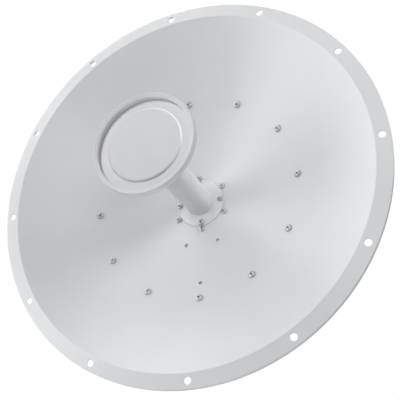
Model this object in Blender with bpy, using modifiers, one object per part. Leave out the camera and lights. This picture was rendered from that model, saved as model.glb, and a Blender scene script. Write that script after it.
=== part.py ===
"""Point-to-point dish antenna, 650 mm across, with its feed and its pole bracket.

Metres, +Z up. The origin lies on the rear face of the mast plate, the face that bears on the
pole. The dish looks along -Y and the pole stands along Z behind the plate.

Everything forward of the brackets is placed in the dish's own frame: x to the right, y up and
w out of the bowl, with w = 0 on the front of the rim. An empty carries that frame.
"""

import math

import bmesh
import bpy
from mathutils import Matrix, Vector

# Clearance between pieces that bear on one another, and the edge break on turned pieces
GAP = 0.0003
EDGE = 0.0010

# Corner radii of the rear plates
CORNER_LARGE = 0.0080
CORNER_SMALL = 0.0060

# Reflector: a spun sheet with a flat rim and a lip folded back
SHEET = 0.0020
BOWL_RADIUS = 0.3015
BOWL_DEPTH = 0.1000
OUTER_RADIUS = 0.3250
LIP_DEPTH = 0.0100
LIP_BEND = 0.0030
BOWL_BORE = 0.0170
RIM_HOLE_RADIUS = 0.0055
RIM_HOLE_CIRCLE = 0.3125
RIM_HOLE_COUNT = 12
CRADLE_HOLES = ((-0.028, -0.0745), (0.028, -0.0745), (0.0, -0.149))
CRADLE_HOLE_RADIUS = 0.0033

# Front of the rim, ahead of the mast plate's rear face
RIM_OFFSET = 0.2100

# Feed: flange on the bowl, tapered tube, cone and sub-reflector
FLANGE_RADIUS = 0.0420
FLANGE_EDGE = -0.0952
FLANGE_SEAT = -0.0934
SPIGOT_RADIUS = 0.0202
SPIGOT_LENGTH = 0.0130
TUBE_BORE = 0.0205
TUBE_BASE_RADIUS = 0.0238
TUBE_TIP_RADIUS = 0.0224
TUBE_TIP = 0.0860
CONE_RADIUS = 0.0370
CONE_FACE = 0.1087
FLARE_POWER = 1.5
CUP_RADIUS = 0.0777
CUP_BACK = 0.1160
CUP_FRONT = 0.1270
LIP_INNER_RADIUS = 0.0713
PLATEAU = 0.1205
CAP_RADIUS = 0.0570
CAP_SEAT = 0.1175
CAP_FACE = 0.1217

# Feed parts behind the bowl
HUB_RADIUS = 0.0560
HUB_REAR = -0.1060
BLOCK_SIZE = 0.0760
BLOCK_REAR = -0.1500
BLOCK_BEVEL = 0.0040
COVER_SIZE = 0.0600
COVER_THICKNESS = 0.0025
COVER_BEVEL = 0.0008
CONNECTOR_RADIUS = 0.0080
CONNECTOR_FLANGE_RADIUS = 0.0125
CONNECTOR_FLANGE_THICKNESS = 0.0025
CONNECTOR_LENGTH = 0.0200
CONNECTOR_SPREAD = 0.0190
CONNECTOR_DEPTH = -0.1300

# Radio plate on three bosses below the hub
RADIO_PLATE_FRONT = -0.1120
RADIO_PLATE_THICKNESS = 0.0030
RADIO_PLATE_HALF_WIDTH = 0.0400
RADIO_PLATE_TOP = -0.0620
RADIO_PLATE_BOTTOM = -0.1560
BOSS_RADIUS = 0.0060

# Backing ring behind the bowl, a folded section
RING_FLANGE_RADIUS = 0.1900
RING_WALL_RADIUS = 0.1660
RING_INNER_RADIUS = 0.1360
RING_THICKNESS = 0.0030
RING_REAR = -0.1280

# Beams and crossbars behind the ring
BEAM_OFFSET = 0.0750
BEAM_WIDTH = 0.0400
BEAM_DEPTH = 0.0200
BEAM_WALL = 0.0025
BEAM_LENGTH = 0.2900
CROSSBAR_HEIGHT = 0.0640
CROSSBAR_LENGTH = 0.2000
CROSSBAR_WIDTH = 0.0340
CROSSBAR_THICKNESS = 0.0050

# Tilt bracket: a base plate and two cheeks
TILT_BASE_WIDTH = 0.1240
TILT_BASE_HEIGHT = 0.1700
TILT_WINDOW = 0.0600
PLATE = 0.0050
TILT_CHEEK_OFFSET = 0.0595
TILT_CHEEK_REAR = -0.2020
TILT_CHEEK_REAR_HEIGHT = 0.1300

# Mast bracket: a plate and two cheeks inside the tilt bracket's
MAST_PLATE_WIDTH = 0.1300
MAST_PLATE_HEIGHT = 0.1700
MAST_PLATE_THICKNESS = 0.0060
MAST_CHEEK_FRONT = -0.1660
MAST_CHEEK_HEIGHT = 0.1400

# Pivot and lock bolts through the cheeks
PIVOT_DEPTH = -0.1840
PIVOT_HEIGHT = 0.0500
CHEEK_BOLT_RADIUS = 0.0050
CHEEK_BOLT_HEAD = 0.0090
CHEEK_BOLT_TAIL = 0.0020
SLOT_HALF_ANGLE = math.radians(5.5)

# Pole clamps: the pole lies between the mast plate and two notched jaws
JAW_HALF_WIDTH = 0.0520
JAW_DEPTH = 0.0220
JAW_SHOULDER = 0.0077
JAW_THICKNESS = 0.0280
JAW_HEIGHT = 0.0450
NOTCH_HALF_WIDTH = 0.0260
NOTCH_DEPTH = 0.0140
POLE_RADIUS = 0.0250
CLAMP_BOLT_OFFSET = 0.0400
CLAMP_BOLT_RADIUS = 0.0040
CLAMP_BOLT_HEAD = 0.0075
CLAMP_BOLT_TAIL = 0.0080
HEAD_HEIGHT = 0.0060

# Facets
BOWL_STEPS = 72
RING_STEPS = 48
ROUND_STEPS = 32
HOLE_STEPS = 16
HOLE_TURN = math.radians(7.0)
BOWL_RINGS = 12
SEAT_RINGS = 5
FLARE_RINGS = 6
CORNER_STEPS = 4
ARC_STEPS = 5

# Turns that stand a flat outline's thickness along x and along y
SIDEWAYS = Matrix(((0.0, 0.0, 1.0, 0.0), (0.0, 1.0, 0.0, 0.0), (1.0, 0.0, 0.0, 0.0), (0.0, 0.0, 0.0, 1.0)))
UPRIGHT = Matrix.Rotation(-math.pi / 2.0, 4, "X")


def bowl_front(radius):
    """Height w of the bowl's front surface, a paraboloid, at a radius."""
    return -BOWL_DEPTH * (1.0 - (radius / BOWL_RADIUS) ** 2)


def bowl_rear(radius):
    """Height w of the bowl's rear surface at a radius."""
    slope = 2.0 * BOWL_DEPTH * radius / BOWL_RADIUS ** 2
    return bowl_front(radius) - SHEET * math.hypot(1.0, slope)


def spaced(start, end, count):
    """Evenly spaced values from start to end, both included."""
    return [start + (end - start) * step / (count - 1) for step in range(count)]


def clear_scene():
    """Remove every object, so that the file starts empty."""
    for leftover in list(bpy.data.objects):
        bpy.data.objects.remove(leftover, do_unlink=True)


def make_collection(name):
    """Add a collection to the scene."""
    collection = bpy.data.collections.new(name)
    bpy.context.scene.collection.children.link(collection)
    return collection


def make_material(name, colour, roughness, metallic):
    """Make a plain finish."""
    material = bpy.data.materials.new(name)
    material.use_nodes = True
    shader = material.node_tree.nodes["Principled BSDF"]
    shader.inputs["Base Color"].default_value = (*colour, 1.0)
    shader.inputs["Roughness"].default_value = roughness
    shader.inputs["Metallic"].default_value = metallic
    material.diffuse_color = (*colour, 1.0)
    return material


clear_scene()
PARTS = make_collection("dish_antenna")
CUTTERS = make_collection("cutters")

WHITE_PAINT = make_material("white_paint", (0.80, 0.81, 0.82), 0.45, 0.0)
WHITE_PLASTIC = make_material("white_plastic", (0.82, 0.82, 0.83), 0.35, 0.0)
ZINC = make_material("zinc_plated_steel", (0.55, 0.56, 0.58), 0.40, 0.9)
CAST_ALUMINIUM = make_material("cast_aluminium", (0.62, 0.63, 0.65), 0.50, 0.9)
BRIGHT_STEEL = make_material("bright_steel", (0.70, 0.70, 0.71), 0.25, 1.0)

DISH_FRAME = bpy.data.objects.new("dish_frame", None)
DISH_FRAME.location = (0.0, -RIM_OFFSET, 0.0)
DISH_FRAME.rotation_euler = (math.pi / 2.0, 0.0, 0.0)
PARTS.objects.link(DISH_FRAME)


def add_object(name, mesh, material, in_dish=True, collection=PARTS):
    """Put a mesh in the scene as a named piece, in the dish's frame or the world's."""
    piece = bpy.data.objects.new(name, mesh)
    collection.objects.link(piece)
    if material:
        mesh.materials.append(material)
    if in_dish:
        piece.parent = DISH_FRAME
    return piece


def mesh_from(name, form):
    """Write a bmesh to a new mesh and free it."""
    mesh = bpy.data.meshes.new(name)
    form.to_mesh(mesh)
    form.free()
    return mesh


def turned(name, profile, material, steps, closed=True):
    """Turn a profile of (radius, w) points about the dish's axis.

    The points run outward over the front, down the outer side and back. A closed profile leaves
    a bore; an open one starts and ends on the axis.
    """
    form = bmesh.new()
    points = [form.verts.new((radius, 0.0, height)) for radius, height in profile]
    for first, second in zip(points, points[1:]):
        form.edges.new((first, second))
    if closed:
        form.edges.new((points[-1], points[0]))
    mesh = mesh_from(name, form)
    piece = add_object(name, mesh, material)
    screw = piece.modifiers.new("turn", "SCREW")
    screw.axis = "Z"
    screw.steps = steps
    screw.render_steps = steps
    screw.use_merge_vertices = True
    screw.merge_threshold = 0.00001
    screw.use_smooth_shade = True
    return piece


def block(name, low, high, material, bevel):
    """Make a box between two corners, with bevelled edges."""
    form = bmesh.new()
    size = Vector(high) - Vector(low)
    centre = (Vector(high) + Vector(low)) / 2.0
    place = Matrix.Translation(centre) @ Matrix.Diagonal((*size, 1.0))
    bmesh.ops.create_cube(form, size=1.0, matrix=place)
    piece = add_object(name, mesh_from(name, form), material)
    edges = piece.modifiers.new("edges", "BEVEL")
    edges.width = bevel
    edges.segments = 2
    edges.limit_method = "ANGLE"


def rounded_outline(corners, radius):
    """Round the corners of a closed outline with arcs of a given radius."""
    points = []
    count = len(corners)
    for index, corner in enumerate(corners):
        here = Vector(corner)
        before = (Vector(corners[index - 1]) - here).normalized()
        after = (Vector(corners[(index + 1) % count]) - here).normalized()
        half = before.angle(after) / 2.0
        reach = radius / math.tan(half)
        centre = here + (before + after).normalized() * radius / math.sin(half)
        start = here + before * reach - centre
        end = here + after * reach - centre
        sweep = start.angle_signed(end)
        for step in range(CORNER_STEPS + 1):
            turn = -sweep * step / CORNER_STEPS
            arm = Matrix.Rotation(turn, 2) @ start
            points.append(centre + arm)
    return points


def rectangle(half_width, low, high):
    """Corners of an upright rectangle that is centred across."""
    return [(-half_width, low), (half_width, low), (half_width, high), (-half_width, high)]


def circle_outline(across, up, radius):
    """Points round a circle."""
    turns = [index * 2.0 * math.pi / HOLE_STEPS for index in range(HOLE_STEPS)]
    return [(across + radius * math.cos(turn), up + radius * math.sin(turn)) for turn in turns]


def plate(name, outlines, low, high, material, in_dish=True, turn=None):
    """Extrude flat outlines, the first one outside and the rest windows, along local Z."""
    curve = bpy.data.curves.new(name, "CURVE")
    curve.dimensions = "2D"
    curve.fill_mode = "BOTH"
    curve.extrude = (high - low) / 2.0
    for outline in outlines:
        spline = curve.splines.new("POLY")
        spline.points.add(len(outline) - 1)
        for point, place in zip(spline.points, outline):
            point.co = (place[0], place[1], 0.0, 1.0)
        spline.use_cyclic_u = True
    guide = bpy.data.objects.new(name + "_outline", curve)
    CUTTERS.objects.link(guide)
    graph = bpy.context.evaluated_depsgraph_get()
    mesh = bpy.data.meshes.new_from_object(guide.evaluated_get(graph))
    mesh.name = name
    bpy.data.objects.remove(guide, do_unlink=True)
    form = bmesh.new()
    form.from_mesh(mesh)
    bmesh.ops.remove_doubles(form, verts=form.verts, dist=0.00001)
    bmesh.ops.translate(form, verts=form.verts, vec=(0.0, 0.0, (high + low) / 2.0))
    if turn:
        bmesh.ops.transform(form, verts=form.verts, matrix=turn)
    bmesh.ops.recalc_face_normals(form, faces=form.faces)
    form.to_mesh(mesh)
    form.free()
    mesh.materials.clear()
    return add_object(name, mesh, material, in_dish)


def rods(name, centres, radius, low, high, turn=None, in_dish=True):
    """Make one cutter of like cylinders that stand along local Z."""
    form = bmesh.new()
    for across, up in centres:
        place = Matrix.Translation((across, up, (low + high) / 2.0)) @ Matrix.Rotation(HOLE_TURN, 4, "Z")
        bmesh.ops.create_cone(
            form, cap_ends=True, segments=HOLE_STEPS, radius1=radius, radius2=radius,
            depth=high - low, matrix=(turn @ place) if turn else place)
    return add_object(name, mesh_from(name, form), None, in_dish, CUTTERS)


def combine(piece, tool, operation):
    """Cut a piece with a tool, or join the tool to it."""
    tool.hide_render = True
    tool.display_type = "WIRE"
    step = piece.modifiers.new(tool.name, "BOOLEAN")
    step.operation = operation
    step.solver = "EXACT"
    step.object = tool
    return piece


def cut(piece, tool):
    """Cut a piece with a hidden tool."""
    return combine(piece, tool, "DIFFERENCE")


def join(piece, tool):
    """Join a hidden tool to a piece."""
    return combine(piece, tool, "UNION")


def make_reflector():
    """Spun bowl with its flat rim, folded lip, rim holes and the holes of the radio plate."""
    radii = spaced(BOWL_BORE, BOWL_RADIUS, BOWL_RINGS)
    bend = spaced(0.0, math.pi / 2.0, 3)
    bend_centre = (OUTER_RADIUS - LIP_BEND, -LIP_BEND)
    inner_bend = LIP_BEND - SHEET
    profile = [(radius, bowl_front(radius)) for radius in radii]
    profile += [(bend_centre[0] + LIP_BEND * math.sin(angle),
                 bend_centre[1] + LIP_BEND * math.cos(angle)) for angle in bend]
    profile += [(OUTER_RADIUS, -LIP_DEPTH), (OUTER_RADIUS - SHEET, -LIP_DEPTH)]
    profile += [(bend_centre[0] + inner_bend * math.sin(angle),
                 bend_centre[1] + inner_bend * math.cos(angle)) for angle in reversed(bend)]
    profile += [(radius, bowl_rear(radius)) for radius in reversed(radii)]
    reflector = turned("reflector", profile, WHITE_PAINT, BOWL_STEPS)
    turns = [index * 2.0 * math.pi / RIM_HOLE_COUNT for index in range(RIM_HOLE_COUNT)]
    rim_places = [(RIM_HOLE_CIRCLE * math.sin(turn), RIM_HOLE_CIRCLE * math.cos(turn)) for turn in turns]
    cut(reflector, rods("rim_hole_cutter", rim_places, RIM_HOLE_RADIUS, -2.0 * SHEET, SHEET))
    cut(reflector, rods("cradle_hole_cutter", CRADLE_HOLES, CRADLE_HOLE_RADIUS, -BOWL_DEPTH, 0.0))


def make_feed():
    """Flange, tube, cone and the two pieces of the sub-reflector, in front of the bowl."""
    seat_radii = spaced(BOWL_BORE, FLANGE_RADIUS, SEAT_RINGS)
    flange = [(BOWL_BORE, FLANGE_SEAT + SPIGOT_LENGTH), (SPIGOT_RADIUS, FLANGE_SEAT + SPIGOT_LENGTH),
              (SPIGOT_RADIUS, FLANGE_SEAT), (TUBE_BASE_RADIUS + EDGE, FLANGE_SEAT),
              (FLANGE_RADIUS - EDGE, FLANGE_EDGE), (FLANGE_RADIUS, FLANGE_EDGE - EDGE)]
    flange += [(radius, bowl_front(radius) + GAP) for radius in reversed(seat_radii)]
    turned("feed_flange", flange, WHITE_PAINT, ROUND_STEPS)

    tube = [(TUBE_BORE, TUBE_TIP), (TUBE_TIP_RADIUS, TUBE_TIP),
            (TUBE_BASE_RADIUS, FLANGE_SEAT + GAP), (TUBE_BORE, FLANGE_SEAT + GAP)]
    turned("feed_tube", tube, WHITE_PLASTIC, ROUND_STEPS)

    flare = [(TUBE_TIP_RADIUS + (CONE_RADIUS - TUBE_TIP_RADIUS) * share ** FLARE_POWER,
              TUBE_TIP + GAP + (CONE_FACE - EDGE - TUBE_TIP - GAP) * share)
             for share in spaced(1.0, 0.0, FLARE_RINGS)]
    cone = [(0.0, CONE_FACE), (CONE_RADIUS - EDGE, CONE_FACE)] + flare
    cone += [(SPIGOT_RADIUS, TUBE_TIP + GAP), (SPIGOT_RADIUS, TUBE_TIP - SPIGOT_LENGTH),
             (0.0, TUBE_TIP - SPIGOT_LENGTH)]
    turned("feed_cone", cone, WHITE_PLASTIC, ROUND_STEPS, closed=False)

    cup = [(0.0, CAP_SEAT), (CAP_RADIUS + GAP, CAP_SEAT), (CAP_RADIUS + GAP, PLATEAU),
           (LIP_INNER_RADIUS, PLATEAU), (LIP_INNER_RADIUS, CUP_FRONT - EDGE / 2.0),
           (CUP_RADIUS - EDGE, CUP_FRONT), (CUP_RADIUS, CUP_FRONT - EDGE),
           (CUP_RADIUS, CUP_BACK + EDGE), (CUP_RADIUS - EDGE, CUP_BACK),
           (CONE_RADIUS, CONE_FACE + GAP), (0.0, CONE_FACE + GAP)]
    turned("subreflector_cup", cup, WHITE_PLASTIC, RING_STEPS, closed=False)

    cap = [(0.0, CAP_FACE), (CAP_RADIUS - EDGE, CAP_FACE), (CAP_RADIUS, CAP_FACE - EDGE),
           (CAP_RADIUS, CAP_SEAT + GAP), (0.0, CAP_SEAT + GAP)]
    turned("subreflector_cap", cap, WHITE_PLASTIC, RING_STEPS, closed=False)


def make_feed_rear():
    """Hub plate, feed block, its cover and its two connectors, behind the bowl."""
    radii = spaced(BOWL_BORE, HUB_RADIUS, SEAT_RINGS)
    hub = [(radius, bowl_rear(radius) - GAP) for radius in radii]
    hub += [(HUB_RADIUS, HUB_REAR), (BOWL_BORE, HUB_REAR)]
    turned("hub_plate", hub, CAST_ALUMINIUM, ROUND_STEPS)

    half = BLOCK_SIZE / 2.0
    block("feed_block", (-half, -half, BLOCK_REAR), (half, half, HUB_REAR - GAP), CAST_ALUMINIUM, BLOCK_BEVEL)
    half_cover = COVER_SIZE / 2.0
    cover_front = BLOCK_REAR - GAP
    block("feed_cover", (-half_cover, -half_cover, cover_front - COVER_THICKNESS),
          (half_cover, half_cover, cover_front), ZINC, COVER_BEVEL)

    step = -CONNECTOR_FLANGE_THICKNESS
    profile = [(0.0, 0.0), (CONNECTOR_FLANGE_RADIUS, 0.0), (CONNECTOR_FLANGE_RADIUS, step),
               (CONNECTOR_RADIUS, step), (CONNECTOR_RADIUS, -CONNECTOR_LENGTH), (0.0, -CONNECTOR_LENGTH)]
    for side, name in ((-1.0, "connector_left"), (1.0, "connector_right")):
        connector = turned(name, profile, BRIGHT_STEEL, HOLE_STEPS, closed=False)
        connector.location = (side * CONNECTOR_SPREAD, -half - GAP, CONNECTOR_DEPTH)
        connector.rotation_euler = (-math.pi / 2.0, 0.0, 0.0)


def make_radio_plate():
    """Plate for the radio, held off the bowl by a boss at each of its three holes."""
    rear = RADIO_PLATE_FRONT - RADIO_PLATE_THICKNESS
    corners = rectangle(RADIO_PLATE_HALF_WIDTH, RADIO_PLATE_BOTTOM, RADIO_PLATE_TOP)
    plate("radio_plate", [rounded_outline(corners, CORNER_LARGE)], rear, RADIO_PLATE_FRONT, ZINC)
    for name, (across, up) in zip(("boss_left", "boss_right", "boss_lower"), CRADLE_HOLES):
        face = bowl_rear(math.hypot(across, up) - BOSS_RADIUS) - GAP
        plate(name, [circle_outline(across, up, BOSS_RADIUS)], RADIO_PLATE_FRONT + GAP, face, ZINC)


def make_backing_ring():
    """Folded ring that carries the bowl: a sloped flange, a wall and a flat rear flange."""
    wall_inner = RING_WALL_RADIUS - RING_THICKNESS
    radii = spaced(wall_inner, RING_FLANGE_RADIUS, SEAT_RINGS)
    profile = [(radius, bowl_rear(radius) - GAP) for radius in radii]
    profile += [(RING_FLANGE_RADIUS, bowl_rear(RING_FLANGE_RADIUS) - GAP - RING_THICKNESS),
                (RING_WALL_RADIUS, bowl_rear(RING_WALL_RADIUS) - GAP - RING_THICKNESS),
                (RING_WALL_RADIUS, RING_REAR), (RING_INNER_RADIUS, RING_REAR),
                (RING_INNER_RADIUS, RING_REAR + RING_THICKNESS), (wall_inner, RING_REAR + RING_THICKNESS)]
    turned("backing_ring", profile, ZINC, RING_STEPS)


def make_frame():
    """Two upright box beams on the ring and two flat crossbars on the beams."""
    beam_front = RING_REAR - GAP
    beam_rear = beam_front - BEAM_DEPTH
    half_length = BEAM_LENGTH / 2.0
    half_width = BEAM_WIDTH / 2.0
    for side, name in ((-1.0, "beam_left"), (1.0, "beam_right")):
        centre = side * BEAM_OFFSET
        sections = [[(centre + across, -depth) for across, depth in
                     rectangle(half_width - wall, beam_rear + wall, beam_front - wall)]
                    for wall in (0.0, BEAM_WALL)]
        plate(name, sections, -half_length, half_length, ZINC, turn=UPRIGHT)
    front = beam_rear - GAP
    half_bar = CROSSBAR_WIDTH / 2.0
    for side, name in ((1.0, "crossbar_upper"), (-1.0, "crossbar_lower")):
        middle = side * CROSSBAR_HEIGHT
        corners = rectangle(CROSSBAR_LENGTH / 2.0, middle - half_bar, middle + half_bar)
        plate(name, [rounded_outline(corners, CORNER_SMALL)], front - CROSSBAR_THICKNESS, front, ZINC)
    return front - CROSSBAR_THICKNESS - GAP


def slot_outline(pivot, radius, half_angle, half_width):
    """Outline of an arc slot below a pivot, as (depth, height) points."""
    points = []
    for reach, angles in ((radius + half_width, spaced(-half_angle, half_angle, ARC_STEPS)),
                          (radius - half_width, spaced(half_angle, -half_angle, ARC_STEPS))):
        points += [(pivot[0] + reach * math.sin(angle), pivot[1] - reach * math.cos(angle))
                   for angle in angles]
    return points


def make_tilt_bracket(base_front):
    """Base plate with a window and two cheeks with a pivot hole and an arc slot."""
    half_height = TILT_BASE_HEIGHT / 2.0
    base_rear = base_front - PLATE
    half_window = TILT_WINDOW / 2.0
    outline = rounded_outline(rectangle(TILT_BASE_WIDTH / 2.0, -half_height, half_height), CORNER_SMALL)
    window = rounded_outline(rectangle(half_window, -half_window, half_window), CORNER_LARGE)
    plate("tilt_base", [outline, window], base_rear, base_front, ZINC)

    cheek_front = base_rear - GAP
    half_rear = TILT_CHEEK_REAR_HEIGHT / 2.0
    corners = [(cheek_front, -half_height), (cheek_front, half_height),
               (TILT_CHEEK_REAR, half_rear), (TILT_CHEEK_REAR, -half_rear)]
    clearance = CHEEK_BOLT_RADIUS + GAP
    arc = slot_outline((PIVOT_DEPTH, PIVOT_HEIGHT), 2.0 * PIVOT_HEIGHT, SLOT_HALF_ANGLE, clearance)
    for side, name in ((-1.0, "tilt_cheek_left"), (1.0, "tilt_cheek_right")):
        centre = side * TILT_CHEEK_OFFSET
        hole = circle_outline(PIVOT_DEPTH, PIVOT_HEIGHT, clearance)
        plate(name, [rounded_outline(corners, CORNER_SMALL), hole, arc],
              centre - PLATE / 2.0, centre + PLATE / 2.0, ZINC, turn=SIDEWAYS)


def make_mast_bracket():
    """Plate that bears on the pole, and two cheeks inside the tilt bracket's."""
    rear = -RIM_OFFSET
    front = rear + MAST_PLATE_THICKNESS
    half_height = MAST_PLATE_HEIGHT / 2.0
    outline = rounded_outline(rectangle(MAST_PLATE_WIDTH / 2.0, -half_height, half_height), CORNER_LARGE)
    clearance = CLAMP_BOLT_RADIUS + GAP
    holes = [circle_outline(side * CLAMP_BOLT_OFFSET, level * JAW_HEIGHT, clearance)
             for side in (-1.0, 1.0) for level in (-1.0, 1.0)]
    plate("mast_plate", [outline] + holes, rear, front, ZINC)

    half_cheek = MAST_CHEEK_HEIGHT / 2.0
    cheek_rear = front + GAP
    corners = [(cheek_rear, -half_cheek), (cheek_rear, half_cheek),
               (MAST_CHEEK_FRONT, half_cheek), (MAST_CHEEK_FRONT, -half_cheek)]
    clearance = CHEEK_BOLT_RADIUS + GAP
    offset = TILT_CHEEK_OFFSET - PLATE - GAP
    for side, name in ((-1.0, "mast_cheek_left"), (1.0, "mast_cheek_right")):
        centre = side * offset
        holes = [circle_outline(PIVOT_DEPTH, level * PIVOT_HEIGHT, clearance) for level in (-1.0, 1.0)]
        plate(name, [rounded_outline(corners, CORNER_SMALL)] + holes,
              centre - PLATE / 2.0, centre + PLATE / 2.0, ZINC, turn=SIDEWAYS)


def bolt(name, radius, head_radius, grip, tail, material):
    """Hexagon-headed bolt with its nut: head at w 0 upward, shank down, nut below the grip."""
    form = bmesh.new()
    shank = grip + tail + HEAD_HEIGHT
    bmesh.ops.create_cone(form, cap_ends=True, segments=HOLE_STEPS, radius1=radius, radius2=radius,
                          depth=shank + HEAD_HEIGHT / 2.0,
                          matrix=Matrix.Translation((0.0, 0.0, HEAD_HEIGHT / 4.0 - shank / 2.0)))
    piece = add_object(name, mesh_from(name, form), material)
    for part, middle in (("head", HEAD_HEIGHT / 2.0), ("nut", -grip - HEAD_HEIGHT / 2.0)):
        form = bmesh.new()
        bmesh.ops.create_cone(form, cap_ends=True, segments=6, radius1=head_radius, radius2=head_radius,
                              depth=HEAD_HEIGHT, matrix=Matrix.Translation((0.0, 0.0, middle)))
        tool = add_object("%s_%s" % (name, part), mesh_from(name + part, form), None, True, CUTTERS)
        tool.parent = piece
        join(piece, tool)
    return piece


def make_cheek_bolts():
    """Pivot bolt and lock bolt through each pair of cheeks."""
    outer_face = TILT_CHEEK_OFFSET + PLATE / 2.0 + GAP
    grip = 2.0 * PLATE + 3.0 * GAP
    for side, side_name in ((-1.0, "left"), (1.0, "right")):
        for level, use in ((1.0, "pivot"), (-1.0, "lock")):
            piece = bolt("%s_bolt_%s" % (use, side_name), CHEEK_BOLT_RADIUS, CHEEK_BOLT_HEAD, grip,
                         CHEEK_BOLT_TAIL, BRIGHT_STEEL)
            piece.location = (side * outer_face, level * PIVOT_HEIGHT, PIVOT_DEPTH)
            piece.rotation_euler = (0.0, side * math.pi / 2.0, 0.0)


def make_clamps():
    """Two notched jaws behind the pole and the four long bolts that draw them on to it."""
    run = math.hypot(NOTCH_HALF_WIDTH, NOTCH_DEPTH)
    apex = POLE_RADIUS + POLE_RADIUS * run / NOTCH_HALF_WIDTH
    back = apex - NOTCH_DEPTH + JAW_DEPTH
    outline = [(-JAW_HALF_WIDTH, 0.0), (JAW_HALF_WIDTH, 0.0), (JAW_HALF_WIDTH, JAW_DEPTH - JAW_SHOULDER),
               (JAW_HALF_WIDTH - JAW_SHOULDER, JAW_DEPTH), (NOTCH_HALF_WIDTH, JAW_DEPTH),
               (0.0, JAW_DEPTH - NOTCH_DEPTH), (-NOTCH_HALF_WIDTH, JAW_DEPTH),
               (JAW_SHOULDER - JAW_HALF_WIDTH, JAW_DEPTH), (-JAW_HALF_WIDTH, JAW_DEPTH - JAW_SHOULDER)]
    outline = [(across, back - depth) for across, depth in outline]
    for level, level_name in ((1.0, "upper"), (-1.0, "lower")):
        middle = level * JAW_HEIGHT
        name = "jaw_" + level_name
        jaw = plate(name, [outline], middle - JAW_THICKNESS / 2.0, middle + JAW_THICKNESS / 2.0,
                    CAST_ALUMINIUM, in_dish=False)
        centres = [(side * CLAMP_BOLT_OFFSET, -middle) for side in (-1.0, 1.0)]
        cut(jaw, rods(name + "_drill", centres, CLAMP_BOLT_RADIUS + GAP, 0.0, 2.0 * back,
                      turn=UPRIGHT, in_dish=False))
    grip = MAST_PLATE_THICKNESS + GAP + back + GAP
    for side, side_name in ((-1.0, "left"), (1.0, "right")):
        for level, level_name in ((1.0, "upper"), (-1.0, "lower")):
            piece = bolt("clamp_bolt_%s_%s" % (side_name, level_name), CLAMP_BOLT_RADIUS, CLAMP_BOLT_HEAD,
                         grip, CLAMP_BOLT_TAIL, BRIGHT_STEEL)
            piece.location = (side * CLAMP_BOLT_OFFSET, level * JAW_HEIGHT,
                              -RIM_OFFSET + MAST_PLATE_THICKNESS + GAP)


def main():
    """Build every piece of the antenna."""
    make_reflector()
    make_feed()
    make_feed_rear()
    make_radio_plate()
    make_backing_ring()
    tilt_front = make_frame()
    make_tilt_bracket(tilt_front)
    make_mast_bracket()
    make_cheek_bolts()
    make_clamps()


main()
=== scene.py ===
"""Looks of a point-to-point dish antenna: spun reflector, feed, disc sub-reflector and pole bracket.

Lengths are metres. The front pieces are modelled in the dish's own frame, with x to the right, y up
and z out of the bowl from the front of its rim, and their finished meshes are then stood upright in
the frame that the solids use.
"""

from __future__ import annotations

import logging
import math
from collections.abc import Callable, Iterable, Sequence
from dataclasses import dataclass, field
from enum import Enum

import bmesh
import bpy
from mathutils import Matrix, Vector

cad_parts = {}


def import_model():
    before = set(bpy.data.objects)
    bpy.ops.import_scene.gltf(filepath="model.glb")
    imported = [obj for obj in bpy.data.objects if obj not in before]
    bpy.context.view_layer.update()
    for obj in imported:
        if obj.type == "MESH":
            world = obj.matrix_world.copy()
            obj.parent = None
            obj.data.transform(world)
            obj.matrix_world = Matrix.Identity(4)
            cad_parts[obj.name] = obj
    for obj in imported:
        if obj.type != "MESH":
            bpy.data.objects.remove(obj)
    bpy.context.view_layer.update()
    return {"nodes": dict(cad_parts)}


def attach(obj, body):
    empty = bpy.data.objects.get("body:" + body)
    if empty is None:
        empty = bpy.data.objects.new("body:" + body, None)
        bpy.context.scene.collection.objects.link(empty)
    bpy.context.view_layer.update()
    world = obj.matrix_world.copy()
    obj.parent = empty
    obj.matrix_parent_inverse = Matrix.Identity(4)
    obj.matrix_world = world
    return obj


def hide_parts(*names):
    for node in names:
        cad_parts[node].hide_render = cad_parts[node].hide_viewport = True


LOG = logging.getLogger("dish_antenna")

Profile = Sequence[tuple[float, float, float]]
Places = Sequence[Matrix]

RIM_OFFSET = 0.2100
DISH = Matrix.Translation((0.0, -RIM_OFFSET, 0.0)) @ Matrix.Rotation(math.pi / 2.0, 4, "X")
TO_REAR = Matrix.Rotation(math.pi, 4, "X")
FULL_TURN = 2.0 * math.pi
SIDES = (-1.0, 1.0)
MERGE = 0.000002
GAP = 0.0003
FEED_BORE = 0.0170
BOSS_PLACES = ((-0.028, -0.0745), (0.028, -0.0745), (0.0, -0.149))
BACKDROP = 1.02
BACKDROP_TINT = (0.985, 0.992, 1.0, 1.0)


class Slot(Enum):
    """Material slots of the record, one named by each finish."""

    PAINT = "white_paint"
    PLASTIC = "white_plastic"
    CASTING = "cast_aluminium"
    ZINC = "zinc_steel"
    STEEL = "bright_steel"


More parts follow.
